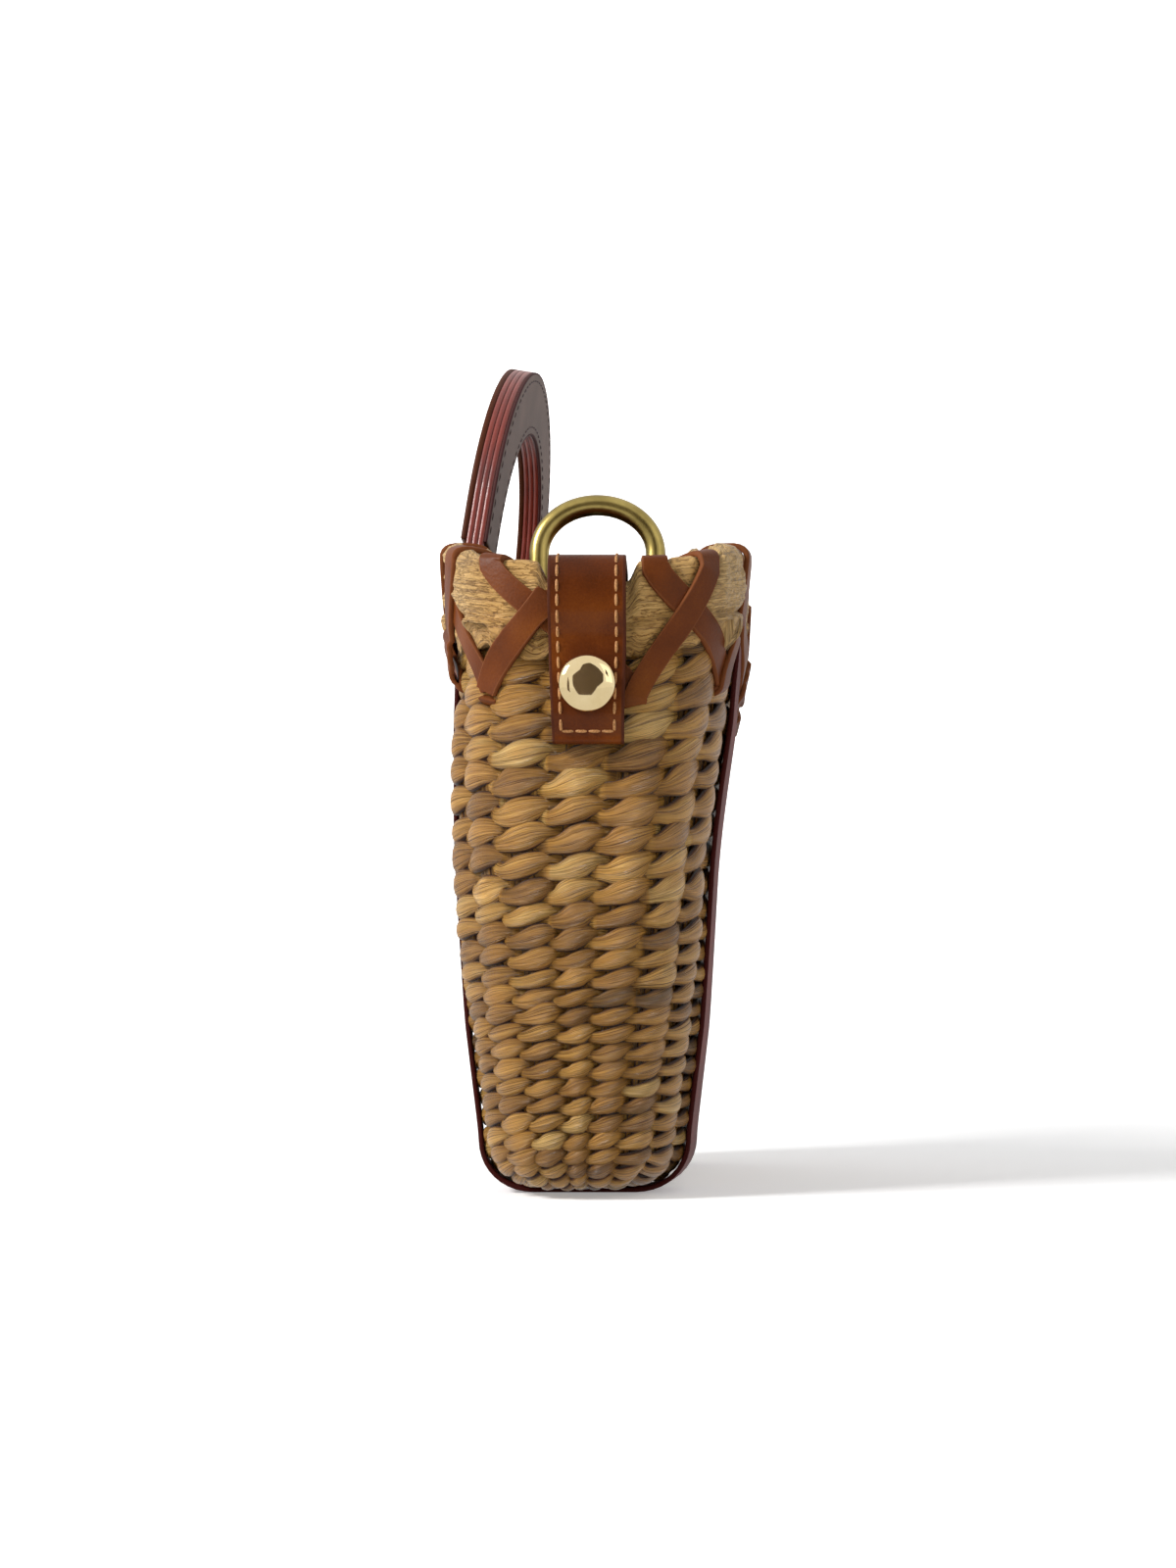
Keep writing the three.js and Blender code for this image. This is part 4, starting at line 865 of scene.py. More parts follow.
def lift_over_lower(wraps, index, place, climb):
    best = 0.0
    own = wraps[index][0]
    for c in (min(max(climb + lead, 0), 1) for lead in (-LACE_LEAD, 0, LACE_LEAD)):
        for shift in (-1, 0, 1):
            other = wraps[(index + shift) % len(wraps)][1]
            whole = RIM_LENGTH * round((own[1] - other[1]) / RIM_LENGTH)
            crossing = place(other, c)
            need = sum(LACE_WIDTH / 2 * math.hypot(1, lace_slope(place, w, c)) for w in (own, other))
            need += LACE_CROSSING_GAP
            close = 1 - ease(need, need + LACE_FADE, abs(place(own, c) - crossing - whole))
            under = strap_lift(crossing, climb) if place is lace_outside else 0
            best = max(best, close * (LACE_CLIMB + under))
    return best


def lace_track(over):
    """(distance, length, height) places: up the outside, over the rim, down the inside and out again."""
    wraps = lace_wraps()
    turns = []
    for index, pair in enumerate(wraps):
        wrap = pair[0] if over else pair[1]

        def lift(place, climb):
            strap = strap_lift(place(wrap, climb), climb) if place is lace_outside else 0.0
            return max(strap, lift_over_lower(wraps, index, place, climb)) if over else strap

        turn = []
        for climb in np.arange(RUN_STEPS) / RUN_STEPS:
            turn.append((lace_outside(wrap, climb), climb * LOOP_RUN, lift(lace_outside, climb)))
        for share in np.arange(TURN_STEPS) / TURN_STEPS:
            height = mix(lift(lace_outside, 1), lift(lace_inside, 1), share)
            turn.append((wrap[1], LOOP_RUN + share * LOOP_TURN, height))
        for share in np.arange(INNER_STEPS) / INNER_STEPS:
            length = LOOP_RUN + LOOP_TURN + share * LOOP_RUN
            turn.append((lace_inside(wrap, 1 - share), length, lift(lace_inside, 1 - share)))
        for share in np.arange(TURN_STEPS) / TURN_STEPS:
            turn.append((wrap[2], 2 * LOOP_RUN + LOOP_TURN + share * LOOP_TURN, LACE_CLIMB if over else 0.0))
        turns.append(turn)
    if not over:
        turns.reverse()
    return [place for turn in turns for place in turn]


def lace_places(items):
    """Points in space for (distance, length, height) places."""
    distance = np.array([i[0] for i in items])
    flat = np.array([loop_point(i[1], i[2]) for i in items])
    place = wall_point(rim_angle(distance), rim_height(distance, flat[:, 1]), flat[:, 0])
    place[:, 1] += foot_lean(place[:, 2])
    return place


def lace_rail(over):
    track = lace_track(over)
    sides = {(side, up): [] for side in (-1, 1) for up in (0, 1)}
    for i, (distance, length, height) in enumerate(track):
        before, after = track[i - 1], track[(i + 1) % len(track)]
        sideways = nearest_turn(after[0] - before[0], RIM_LENGTH)
        forward = nearest_turn(after[1] - before[1], LOOP_LENGTH)
        for (side, up), line in sides.items():
            shift = side * LACE_WIDTH / 2 / math.hypot(sideways, forward)
            level = height + (LACE_THICKNESS if up else -LACE_SINK)
            line.append((distance + forward * shift, length - sideways * shift, level))
    corners = {key: lace_places(line) for key, line in sides.items()}
    centre = sum(corners.values()) / 4
    across = (corners[1, 0] + corners[1, 1] - corners[-1, 0] - corners[-1, 1]) / 4
    outward = (corners[1, 1] + corners[-1, 1] - corners[1, 0] - corners[-1, 0]) / 4
    return make_rail(centre[:-1], across[:-1], outward[:-1])


LACE_RAILS = {"over": lace_rail(True), "under": lace_rail(False)}


def build_laces():
    for key, rail in LACE_RAILS.items():
        sweep(f"lace_{key}_ribbon", [rail], LACE, "basket", "lace_leather", (f"lace_{key}",), RIBBON,
              (0.05, 0.6, 11.0))


# Leaf band: one wide creased leaf over the rim, its lower edge rolled


def soft_noise(u, v, seed, turns):
    """Smooth random field from 0 to 1 over u and v, with u coming round after the given number of cells."""
    grid = np.random.default_rng(seed).random((turns, 64))
    iu, iv = np.floor(u).astype(int), np.floor(v).astype(int)
    fu, fv = ((f * f * (3 - 2 * f)) for f in (u - iu, v - iv))

    def cell(a, b):
        return grid[(iu + a) % turns, (iv + b) % 64]

    return mix(mix(cell(0, 0), cell(1, 0), fu), mix(cell(0, 1), cell(1, 1), fu), fv)


def band_section():
    """The band's outline as (out, drop): outer foot, over the top, inner foot and back along the wall."""
    edge = BAND_EDGE_DROP
    section = [(BAND_PROUD, mix(-BAND_OUTER_DROP, -edge, i / 26)) for i in range(27)]
    for i in range(1, 6):
        turn = math.radians(18 * i)
        section.append((BAND_PROUD - edge * (1 - math.cos(turn)), -edge * (1 - math.sin(turn))))
    left, right = BAND_PROUD - edge, BAND_INNER_FACE + edge
    section += [(mix(left, right, i / 4), 0.0) for i in range(1, 5)]
    for i in range(1, 5):
        turn = math.radians(22.5 * i)
        section.append((right - edge * math.sin(turn), -edge * (1 - math.cos(turn))))
    section += [(BAND_INNER_FACE, mix(-edge, -BAND_INNER_DROP, i / 10)) for i in range(1, 11)]
    drops = (BAND_INNER_DROP, BAND_INNER_DROP / 2, BAND_TOP_THICKNESS)
    section += [(-WALL_THICKNESS - GAP, -drop) for drop in drops]
    drops = (BAND_TOP_THICKNESS, BAND_OUTER_DROP / 2, BAND_OUTER_DROP)
    section += [(BAND_UNDERSIDE, -drop) for drop in drops]
    return np.array(section)


def lace_nearness(points):
    """1 where a lace presses the band, 0 from 2 mm beside it."""
    centres = np.concatenate([rail["centre"] for rail in LACE_RAILS.values()])
    tree = KDTree(len(centres))
    for i, centre in enumerate(centres):
        tree.insert(centre, i)
    tree.balance()
    away = np.array([tree.find(p)[2] for p in points])
    return 1 - smooth(LACE_WIDTH / 2 - 0.5, LACE_WIDTH / 2 + 1.9, away)


def build_rim_band():
    section = band_section()
    count = len(section)
    distance = np.repeat(np.arange(BAND_STATIONS) / BAND_STATIONS * RIM_LENGTH, count)
    out, drop = (np.tile(section[:, k], BAND_STATIONS) for k in (0, 1))
    angle, round_rim, end = rim_angle(distance), distance / RIM_LENGTH, distance_to_end(distance)
    flat = wall_point(angle, rim_height(distance, drop), out)
    pressed = lace_nearness(flat)

    def relief(amount, cells, pitch, first, seed, middle):
        return amount * (soft_noise(round_rim * cells, drop / pitch + first, seed, cells) - middle)

    # Where it is: both skins, the puffed corners, and the fold above the rolled lower edge
    outside = out > BAND_UNDERSIDE + 0.5
    skin = np.where(outside | (out < -WALL_THICKNESS - GAP - 0.5), 1.0, 0.0)
    corner = smooth(*BAND_CORNER_RISE, end) * (1 - smooth(*BAND_CORNER_FADE, end))
    fold = -BAND_FOLD_DROP + relief(*BAND_FOLD)
    upper = np.clip((drop - fold) / (-BAND_EDGE_DROP - fold), 0, 1)
    lower = np.clip((fold - drop) / (BAND_OUTER_DROP + fold), 0, 1)

    # How far it lifts off its plain face: puffs, swells, wrinkles, and flat under the laces and tabs
    puff = BAND_UPPER_PUFF * np.sin(math.pi * upper) + BAND_LOWER_PUFF * np.sin(math.pi * lower ** 0.7)
    puff -= BAND_CREASE_DEPTH * np.exp(-((drop - fold) / BAND_CREASE_WIDTH) ** 2) * outside
    lift = np.where(outside, puff, BAND_INSIDE_LIFT)
    swelling = mix(1.0, BAND_CORNER_SWELL, corner)
    for kind, share in ((BAND_SWELL, swelling), (BAND_WRINKLE, 1), (BAND_FINE, 1), (BAND_CRUMPLE, corner)):
        lift += relief(*kind) * share
    lift += BAND_CORNER_PUFF * corner + BAND_SIDE_PUFF * np.where(outside, smooth(*BAND_SIDE_RISE, end), 0)
    lift = np.maximum(lift * (1 - pressed) - 0.15 * pressed, -1.0) * skin
    under_tab = 1 - smooth(TAB_WIDTH / 2 + 0.6, TAB_WIDTH / 2 + 4, end)
    lift *= 1 - 0.9 * under_tab * (drop > -BAND_OUTER_DROP + 1)

    # Its ragged lower edge
    ragged = sum(relief(*kind) for kind in BAND_RAGGED)
    drop = drop + ragged * (1 - smooth(0, 7, drop + BAND_OUTER_DROP)) * (1 - 0.8 * pressed)
    height = rim_height(distance, drop)
    across = unit(wall_point(angle, height, out + 0.05) - flat)
    top = smooth(-BAND_EDGE_DROP, 0, drop)[:, None]
    away = across * np.sign(out + 0.5 * WALL_THICKNESS)[:, None]
    toward = unit(away * (1 - top) + np.array([0, 0, 1.0]) * top)
    points = wall_point(angle, height, out) + toward * lift[:, None]
    faces = []
    for i in range(BAND_STATIONS):
        a, b = i * count, (i + 1) % BAND_STATIONS * count
        faces += [(a + j, a + (j + 1) % count, b + (j + 1) % count, b + j) for j in range(count)]
    band = mesh_object("leaf_band", points * MM, faces, LEAF)
    tone = 0.5 + relief(*BAND_TONE) - 0.22 * (drop < fold) * outside
    set_attribute(band.data, "fibre", columns(distance, np.tile(lengths(section), BAND_STATIONS), 0))
    set_attribute(band.data, "tone", tone)
    set_attribute(band.data, "crepe", corner)
    face_outward(band)
    settle(band, "basket", ("rim_wrap",))


# Straps: down the front wall, under the base and up the back wall, with tongues inside the wall


def strap_top(wall):
    return LEG_RIM_TOP + GAP if wall < 0 else LEG_RIM_TOP - BAND_TOP_THICKNESS - GAP


def strap_wall_line(x, wall):
    """(y, z) down one wall and round its foot, at x along the bag."""
    chamfer = -BAND_OUTER_DROP + GAP * math.sqrt(2)
    path = [(BAND_UNDERSIDE, strap_top(wall)), (BAND_UNDERSIDE, LEG_RIM_TOP + chamfer - BAND_UNDERSIDE),
            (GAP, LEG_RIM_TOP + chamfer - GAP)]
    low = STRAP_BEND + BASE_CORNER_RADIUS
    path += [(GAP, mix(path[-1][1], low, i / 24)) for i in range(1, 25)]
    line = [(wall * (wall_face(x, z) + out), z) for out, z in path]
    slope = (line[-1][0] - line[-2][0]) / (line[-1][1] - line[-2][1])
    foot = line[-1][0] - slope * (line[-1][1] - STRAP_THICKNESS - STRAP_BEND)
    for i in range(13):
        turn = math.radians(7.5 * i)
        line.append((foot - wall * STRAP_BEND + wall * STRAP_BEND * math.cos(turn),
                     STRAP_THICKNESS + STRAP_BEND - STRAP_BEND * math.sin(turn)))
    return resample(line, 90)


def strip_normals(line):
    step = unit(np.gradient(line, axis=0))
    return columns(step[:, 1], -step[:, 0])


def strap_rail(end):
    lines = []
    for x in STRAP_EDGES:
        front, back = strap_wall_line(x, -1), strap_wall_line(x, 1)
        whole = np.concatenate([front, np.linspace(front[-1], back[-1], 26)[1:-1], back[::-1]])
        normal = strip_normals(whole)
        middle = whole + normal * (STRAP_THICKNESS / 2 - STRAP_SUNK * smooth(2, 22, whole[:, 1:]))
        lines.append((columns(end * x, *middle.T), normal))
    (inner, inner_normal), (outer, outer_normal) = lines
    centre = (inner + outer) / 2
    height = centre[:, 2]
    proud = wall_swell(height) * smooth(0, BODY_HALF_WIDTH * 0.8, np.abs(centre[:, 1]))
    centre[:, 1] += foot_lean(height) + np.sign(centre[:, 1]) * proud
    normal = (inner_normal + outer_normal) / 2
    return strip_rail(centre, (outer - inner) / 2, columns(0, *-normal.T) * (STRAP_THICKNESS / 2), 0.3)


def build_straps():
    for end, sign in ENDS:
        sweep(f"strap_leather_{end}", [strap_rail(sign)], OXBLOOD, "basket", "strap_leather",
              (f"strap_{end}",), RIBBON, (0.03, 0.5, 21.0))
        for wall, side in (("front", -1), ("back", 1)):
            z = np.linspace(min(strap_top(side), LEG_RIM_TOP - 0.6), LEG_RIM_TOP - ANCHOR_DROP, 30)
            face = -WALL_THICKNESS - GAP - ANCHOR_THICKNESS / 2
            inner, outer = (columns(sign * x, side * (wall_face(x, z) + face), z) for x in STRAP_EDGES)
            outward = everywhere((0, side * ANCHOR_THICKNESS / 2, 0), z)
            rail = strip_rail((inner + outer) / 2, (outer - inner) / 2, outward, 0.4)
            sweep(f"lining_tongue_{wall}_{end}", [rail], TAUPE, "basket", "lining_leather",
                  (f"anchor_{wall}_{end}",), RIBBON, (0.03, 0.5, 23.0))


# Handle: five leather layers cut to one arch

HANDLE_TILT = math.radians(HANDLE_LEAN)
HANDLE_PIVOT = np.array([0, HANDLE_BEND_INSET - wall_face(HANDLE_LEG_CENTRE, LEG_RIM_TOP),
                         LEG_RIM_TOP + 1.5 * GAP + HANDLE_STACK / 2])


def lean(points, turn_only=False):
    """From the upright handle's own frame to its place, leaning outward over the front wall."""
    x, y, z = np.asarray(points, float).T
    c, s = math.cos(-HANDLE_TILT), math.sin(-HANDLE_TILT)
    turned = columns(x, c * y - s * z, s * y + c * z)
    return turned if turn_only else turned + HANDLE_PIVOT


def arch_lines(foot_drop, inset=0.0):
    """Outer and inner line of the arch as (x, z), from one foot over the top to the other."""
    angles = np.linspace(0, math.pi, 120)
    arch = columns(np.cos(angles), np.sin(angles))
    lows = np.linspace(-foot_drop, HANDLE_LEG_HEIGHT, 9)[:-1]
    lines = []
    for x, top in ((HANDLE_HALF_SPAN - inset, HANDLE_ARCH_HEIGHT - inset),
                   (STRAP_EDGES[0] + inset, HANDLE_ARCH_HEIGHT - HANDLE_CROWN_WIDTH + inset)):
        leg = columns(x, lows)
        lines.append(np.concatenate([leg, arch * (x, top) + (0, HANDLE_LEG_HEIGHT), (leg * (-1, 1))[::-1]]))
    return lines


def build_handle():
    finish = {"outer": (TAN, "handle_face_leather"), "lining": (TAUPE, "lining_leather")}
    low = -HANDLE_STACK / 2
    for name, thickness in HANDLE_LAYERS:
        high = low + thickness
        foot = math.sqrt(max(0, (HANDLE_STACK / 2) ** 2 - max(abs(low), abs(high)) ** 2))
        outer, inner = (columns(line[:, 0], (low + high) / 2, line[:, 1]) for line in arch_lines(foot))
        outward = lean(everywhere((0, (high - low) / 2 + 0.5 * GAP, 0), outer), True)
        rail = strip_rail(lean((outer + inner) / 2), lean((outer - inner) / 2, True), outward, 0.3)
        material, slot = finish.get(name, (BURGUNDY, "handle_edge_leather"))
        sweep(f"handle_{name}", [rail], material, "front_handle", slot, (f"front_handle_{name}",),
              THICK_LEATHER, (0.02, 0.5, 31.0))
        low = high + GAP


def build_hinge_leather():
    """The leather strip between the rim and each leg of the handle, drawn straight."""
    y, z = HANDLE_PIVOT[1:]
    for end, sign in ENDS:
        centre = columns(sign * HANDLE_LEG_CENTRE, y, np.linspace(*(z + reach for reach in HINGE_REACH), 22))
        across = everywhere((HANDLE_LEG_WIDTH / 2 - HINGE_INSET, 0, 0), centre)
        rail = strip_rail(centre, across, everywhere((0, HINGE_HALF_THICKNESS, 0), centre), 0.4)
        hinge = swept(f"hinge_leather_{end}", [rail], OXBLOOD, HINGE_FLAT)
        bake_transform(hinge)


# End tabs, studs and rings


def tab_seat(z):
    """How far the tab's inner layer stands off the wall, over the laces."""
    low = RIM_HEIGHT_END - TAB_DROP
    crossing = RIM_HEIGHT_END - TAB_CROSSING_DROP
    over_lower = BAND_PROUD + LACE_BAND_GAP + LACE_STEP
    reach = mix(2 * GAP, over_lower, ease(low + TAB_LIFT_START, low + TAB_LIFT_END, z))
    return reach + LACE_STEP * ease(crossing, crossing + TAB_CROSSING_RISE, z)


def ring_bar():
    z = RIM_HEIGHT_END - RING_BAR_DROP
    face = BAND_INNER_FACE - LACE_BAND_GAP - LACE_STEP - TAB_LAYER - GAP
    return end_face(z) + face - RING_WIRE_RADIUS, z


def add_top_bend(line, top, radius):
    x, z = line[-1]
    for i in range(1, 9):
        turn = math.radians(11.25 * i)
        line.append((x - radius * (1 - math.cos(turn)), z + (top - z) * math.sin(turn)))


def tab_line():
    """Middle of the tab's leather as (x, z): up the outer layer, over the rim, round the ring and back."""
    low, high, half = RIM_HEIGHT_END - TAB_DROP, RIM_HEIGHT_END - RIM_DIP - BAND_EDGE_DROP, TAB_LAYER / 2
    heights = np.linspace(low, high, 40)
    inner = [(end_face(z) + tab_seat(z) + half, z) for z in heights]
    outer = [(end_face(z) + tab_seat(z) + TAB_LAYER + GAP + half, z) for z in heights]
    top = RIM_HEIGHT_END - half
    corner = end_face(top) + BAND_INNER_FACE
    add_top_bend(outer, top, BAND_EDGE_DROP + TAB_LAYER + GAP)
    outer += [(corner - TAB_LAYER, top), (corner - TAB_STACK, top - TAB_LAYER)]
    add_top_bend(inner, top - TAB_LAYER - GAP, BAND_EDGE_DROP)
    inner.append((corner - TAB_LAYER, top - TAB_LAYER - GAP))
    bar_x, bar_z = ring_bar()
    wrap = RING_WIRE_RADIUS + GAP + half
    turns = np.linspace(TAB_WRAP_START, 2, 24) * math.pi
    arc = [(bar_x + wrap * math.cos(turn), bar_z + wrap * math.sin(turn)) for turn in turns]
    return resample(outer + arc + inner[::-1], 230)


TAB_LINE = tab_line()
TAB_NORMALS = strip_normals(TAB_LINE)
TAB_HALF_THICKNESS = TAB_LAYER / 2 + 0.4 * GAP


def tab_half_width(z):
    return TAB_WIDTH / 2 - 0.7 * (1 - smooth(RIM_HEIGHT_END - TAB_DROP, RIM_HEIGHT_END - 20, z))


def build_tabs():
    x, z = TAB_LINE.T
    nx, nz = TAB_NORMALS.T
    for end, sign in ENDS:
        rail = strip_rail(columns(sign * x, 0, z), columns(0, tab_half_width(z), 0 * z),
                          columns(sign * nx, 0, nz) * TAB_HALF_THICKNESS, 0.5)
        sweep(f"tab_strip_{end}", [rail], TAN, "basket", "tab_leather", (f"tab_{end}",), TAB_LEATHER,
              (0.015, 0.4, 41.0))


def lathe(name, profile, place, direction, material, node, segments=64):
    """Turns (radius, height) round an axis that starts at place and points along direction."""
    axis = unit(np.array(direction, float))
    side = unit(np.cross(axis, (0, 1, 0)))
    other = np.cross(axis, side)
    points, faces = [], []
    for i, (radius, height) in enumerate(profile):
        for j in range(segments):
            turn = 2 * math.pi * j / segments
            points.append(place + axis * height + (side * math.cos(turn) + other * math.sin(turn)) * radius)
            a, b = i * segments + j, i * segments + (j + 1) % segments
            faces.append((a, b, b + segments, a + segments))
    obj = mesh_object(name, np.array(points) * MM, faces[:-segments], material)
    face_outward(obj, closed=False)
    shade_smooth(obj.data)
    settle(obj, "basket", (node,))


def build_studs():
    z = RIM_HEIGHT_END - STUD_DROP
    depth = tab_seat(z) + TAB_STACK + GAP
    tilt = math.atan(WALL_FLARE)
    back, hole = -(depth + WALL_THICKNESS + GAP), STUD_POST_RADIUS + 0.05
    low = back - STUD_BACK_THICKNESS
    edge = STUD_BACK_RADIUS
    cap = [(STUD_POST_RADIUS, low), (STUD_POST_RADIUS, -GAP), (STUD_RADIUS - 0.5, -GAP),
           (STUD_RADIUS - 0.1, -0.1), (STUD_RADIUS + 0.05, 0.35)]
    for turn in np.radians(90 * np.arange(17) / 16):
        rise = STUD_DOME_HEIGHT * math.sin(turn) ** 0.85
        cap.append((STUD_RADIUS * math.cos(turn), STUD_RIM_HEIGHT + rise))
    plate = [(hole, back), (edge - 0.2, back), (edge, back - 0.2), (edge, low + 0.7),
             (edge - 0.25, low + 0.25), (edge - 0.7, low), (hole, low), (hole, back)]
    for end, sign in ENDS:
        place = np.array([sign * (end_face(z) + depth), 0, z])
        direction = (sign * math.cos(tilt), 0, -math.sin(tilt))
        lathe(f"dome_stud_{end}", cap, place, direction, GOLD, f"stud_cap_{end}")
        lathe(f"stud_plate_{end}", plate, place, direction, BRASS, f"stud_back_{end}", 48)


def build_rings():
    w, r, h = RING_HALF_WIDTH, RING_CORNER_RADIUS, RING_LEG_HEIGHT
    quarter = np.linspace(0, math.pi / 2, 9)
    line = [(x, 0.0) for x in np.linspace(-w + r, w - r, 14)]
    line += [(w - r + r * math.sin(t), r - r * math.cos(t)) for t in quarter[1:]]
    line += [(w * math.cos(t), h + RING_ARCH_HEIGHT * math.sin(t)) for t in np.linspace(0, math.pi, 50)]
    line += [(-w + r - r * math.sin(t), r - r * math.cos(t)) for t in quarter[::-1]]
    even = resample(line, 121)[:-1]
    step = unit(np.roll(even, -1, 0) - np.roll(even, 1, 0))
    bar_x, bar_z = ring_bar()
    for end, sign in ENDS:
        centre = columns(sign * bar_x, sign * (even[:, 0] + RING_SIDE_SHIFT), even[:, 1] + bar_z)
        across = columns(0, sign * step[:, 1], -step[:, 0]) * RING_WIRE_RADIUS
        rail = make_rail(centre, across, everywhere((RING_WIRE_RADIUS, 0, 0), even), True)
        sweep(f"d_ring_{end}", [rail], BRASS, f"ring_{end}", "brass", (f"ring_{end}",), WIRE,
              (0.03, 0.6, 51.0))


# Stitches


def sew(name, seams, radius, material, body):
    """A seam is (points, normals); each point gets a stitch that lies along the seam."""
    rails = []
    for points, normals in seams:
        rails.append(make_rail(points, unit(np.gradient(points, axis=0)) / MM, normals / MM))
    values = {"Stitch Length": STITCH_LENGTH * MM, "Thread Radius": radius * MM, "Material": material}
    settle(grown(name, rails, STITCHES, values), body)


def build_tab_stitches():
    """Down both sides of the tab's outer layer and across its foot."""
    shown = np.argmax(TAB_LINE[:, 1] >= RIM_HEIGHT_END - TAB_LAYER / 2 - 0.05) + 6
    face = TAB_NORMALS[:shown]
    skin = TAB_LINE[:shown] + face * TAB_HALF_THICKNESS
    along = lengths(skin)

    def read(marks):
        return (np.interp(marks, along, values) for values in (*skin.T, *face.T))

    x, z, nx, nz = read(np.arange(STITCH_INSET + STITCH_PITCH / 2, along[-1], STITCH_PITCH))
    foot_x, foot_z, foot_nx, foot_nz = read(np.full(4, STITCH_INSET))
    side_y = tab_half_width(z) - STITCH_INSET
    foot_y = (np.linspace(-1, 1, 5)[:4] + 0.25) * (tab_half_width(foot_z) - STITCH_INSET)
    for end, sign in ENDS:
        normals = columns(sign * nx, 0, nz)
        seams = [(columns(sign * x, side * side_y, z), normals) for side in (-1, 1)]
        seams.append((columns(sign * foot_x, foot_y, foot_z), columns(sign * foot_nx, 0, foot_nz)))
        sew(f"tab_stitches_{end}", seams, TAB_THREAD_RADIUS, THREAD_TAN, "basket")


def build_handle_stitches():
    """Along both edges of the handle's two faces."""
    seams = []
    for way in (-1, 1):
        for line in arch_lines(0.0, STITCH_INSET):
            flat = columns(line[:, 0], way * (HANDLE_STACK / 2 + 0.45 * GAP), line[:, 1])
            even = resample(flat, int(lengths(flat)[-1] / STITCH_PITCH))[1:-1]
            seams.append((lean(even), lean(everywhere((0, way, 0), even), True)))
    sew("handle_stitches", seams, HANDLE_THREAD_RADIUS, THREAD_DARK, "front_handle")


build_weave()
build_stakes()
build_laces()
build_rim_band()
build_straps()
build_handle()
build_hinge_leather()
build_tabs()
build_studs()
build_rings()
build_tab_stitches()
build_handle_stitches()


# Stage, lights and camera, in metres

# Each lamp's name, place, size and power; and the world's light on the bag and as it is seen, by the camera
# and in reflections, where it is a painted reflection brighter than the light it gives
LAMPS = (("key", (0.62, -0.9, 0.78), 0.35, 16.0), ("fill", (0.9, 0.9, 0.7), 0.9, 1.6))
LAMP_TARGET = Vector((0, 0, 0.12))
WORLD_LIGHT, WORLD_SEEN_AND_REFLECTED = 0.38, 1.0
FLOOR_START, FLOOR_BEND_START, FLOOR_BEND_RADIUS = 2.2, -0.2, 0.5
FLOOR_TOP, FLOOR_HALF_WIDTH, FLOOR_DROP = 2.4, 3.0, 0.0002
# How much the floor glows to the camera, from near the bag to far from it, and to mirrors
FLOOR_GLOW = {"From Min": 0.25, "From Max": 0.7, "To Min": 0.3, "To Max": 0.8}
FLOOR_MIRRORED = 0.9
BOARD_X = 0.70
BOARDS = (
    ((-0.16, 0.0), (0.04, 0.0), (0.12, 0.12), (0.24, 0.20), (0.26, 0.34), (0.16, 0.46), (0.02, 0.58),
     (-0.10, 0.52), (-0.14, 0.38), (-0.26, 0.30), (-0.24, 0.14)),
    ((-0.46, 0.05), (-0.36, 0.0), (-0.34, 0.20), (-0.40, 0.32)),
    ((0.36, 0.40), (0.48, 0.34), (0.54, 0.48), (0.44, 0.58)))
PHOTO_WIDTH, PHOTO_HEIGHT, SENSOR = 1200, 1600, 36
CAMERA_PLACE = (0.535, 0.025, 0.0385)
FOCAL_PIXELS, HORIZON_ROW, VANISHING_COLUMN = 1638, 1082, 696


def stage_material():
    """Plain paper that the camera sees a little brighter than it is lit, so that it reads white."""
    net = new_material("paper_floor")
    mirrored = net.seen_by("Is Glossy Ray", "Is Transmission Ray")
    plain = net.add("ShaderNodeBsdfDiffuse", {"Color": (0.93, 0.93, 0.93, 1)})
    place = net.add("ShaderNodeTexCoord")["Object"]
    away = net.add("ShaderNodeVectorMath", {0: place}, "Value", operation="LENGTH")
    far = net.add("ShaderNodeMapRange", {"Value": away, **FLOOR_GLOW})
    glow = net.add("ShaderNodeEmission", {"Strength": far * net.seen_by("Is Camera Ray")})
    paper = net.add("ShaderNodeAddShader", {0: plain, 1: glow})
    bright = net.add("ShaderNodeEmission", {"Color": (1, 1, 1, 1), "Strength": FLOOR_MIRRORED})
    surface = net.add("ShaderNodeMixShader", {0: mirrored, 1: paper, 2: bright})
    net.add("ShaderNodeOutputMaterial", {"Surface": surface})
    return net.owner


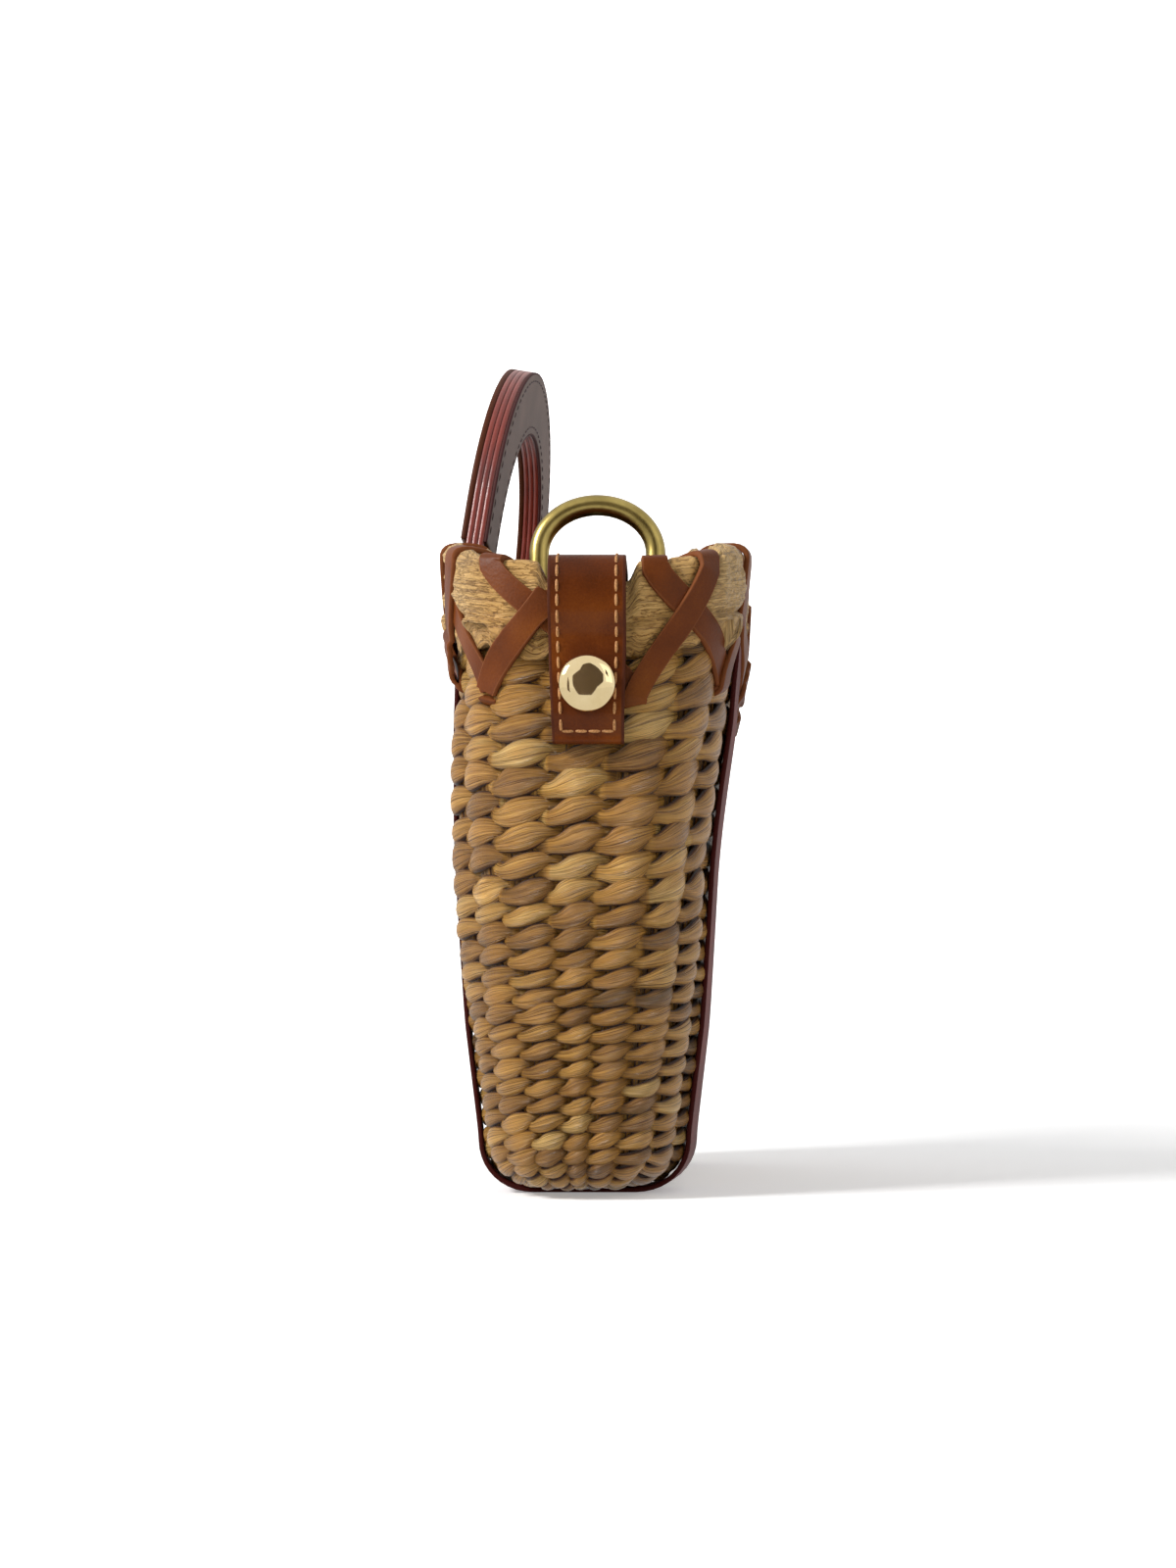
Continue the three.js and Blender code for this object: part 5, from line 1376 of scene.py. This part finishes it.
def build_flags():
    """Dark boards before the bag that only its polished metal and gloss can see: painted dark reflections,
    unseen by the camera, giving no diffuse light and casting no shadow.
    """
    net = new_material("dark_board")
    board = net.add("ShaderNodeBsdfDiffuse", {"Color": (0.15, 0.115, 0.09, 1)})
    net.add("ShaderNodeOutputMaterial", {"Surface": board})
    points, faces = [], []
    for outline in BOARDS:
        faces.append(tuple(range(len(points), len(points) + len(outline))))
        points += [(BOARD_X, y, z) for y, z in outline]
    flags = mesh_object("flags", points, faces, net.owner)
    for kind in ("camera", "diffuse", "transmission", "volume_scatter", "shadow"):
        setattr(flags, "visible_" + kind, False)


def build_stage():
    """A floor that curves up behind the bag."""
    start, radius = FLOOR_BEND_START, FLOOR_BEND_RADIUS
    profile = [(FLOOR_START, 0.0), (start, 0.0)]
    for i in range(1, 19):
        turn = math.radians(5 * i)
        profile.append((start - radius * math.sin(turn), radius * (1 - math.cos(turn))))
    profile.append((start - radius, FLOOR_TOP))
    points = [(x, y, z - FLOOR_DROP) for x, z in profile for y in (-FLOOR_HALF_WIDTH, FLOOR_HALF_WIDTH)]
    faces = [(a, a + 1, a + 3, a + 2) for a in range(0, len(points) - 2, 2)]
    floor = mesh_object("floor", points, faces, stage_material())


def build_lights():
    world = bpy.data.worlds.new("studio")
    bpy.context.scene.world = world
    world.use_nodes = True
    world.node_tree.nodes.clear()
    net = Net(world.node_tree)
    # The camera sees the world white; glossy and transmission rays see it brighter than the light it gives, a
    # painted reflection.
    seen = net.seen_by("Is Camera Ray", "Is Glossy Ray", "Is Transmission Ray")
    strength = seen * (WORLD_SEEN_AND_REFLECTED - WORLD_LIGHT) + WORLD_LIGHT
    background = net.add("ShaderNodeBackground", {"Color": (1, 1, 1, 1), "Strength": strength})
    net.add("ShaderNodeOutputWorld", {"Surface": background})
    for name, place, size, power in LAMPS:
        data = bpy.data.lights.new(name, "AREA")
        data.energy, data.size = power, size
        lamp = add_object(name, data)
        lamp.location = place
        lamp.rotation_euler = (LAMP_TARGET - Vector(place)).to_track_quat("-Z", "Y").to_euler()


def build_camera():
    data = bpy.data.cameras.new("camera")
    camera = add_object("camera", data)
    data.sensor_width = SENSOR
    data.lens = SENSOR * FOCAL_PIXELS / PHOTO_HEIGHT
    data.shift_x = -(VANISHING_COLUMN - PHOTO_WIDTH / 2) / PHOTO_HEIGHT
    data.shift_y = (HORIZON_ROW - PHOTO_HEIGHT / 2) / PHOTO_HEIGHT
    data.clip_start = 0.01
    camera.location = CAMERA_PLACE
    camera.rotation_euler = (math.radians(90), 0, math.radians(90))
    bpy.context.scene.camera = camera


build_stage()
build_flags()
build_lights()
build_camera()
bpy.context.scene.view_settings.view_transform = "Standard"
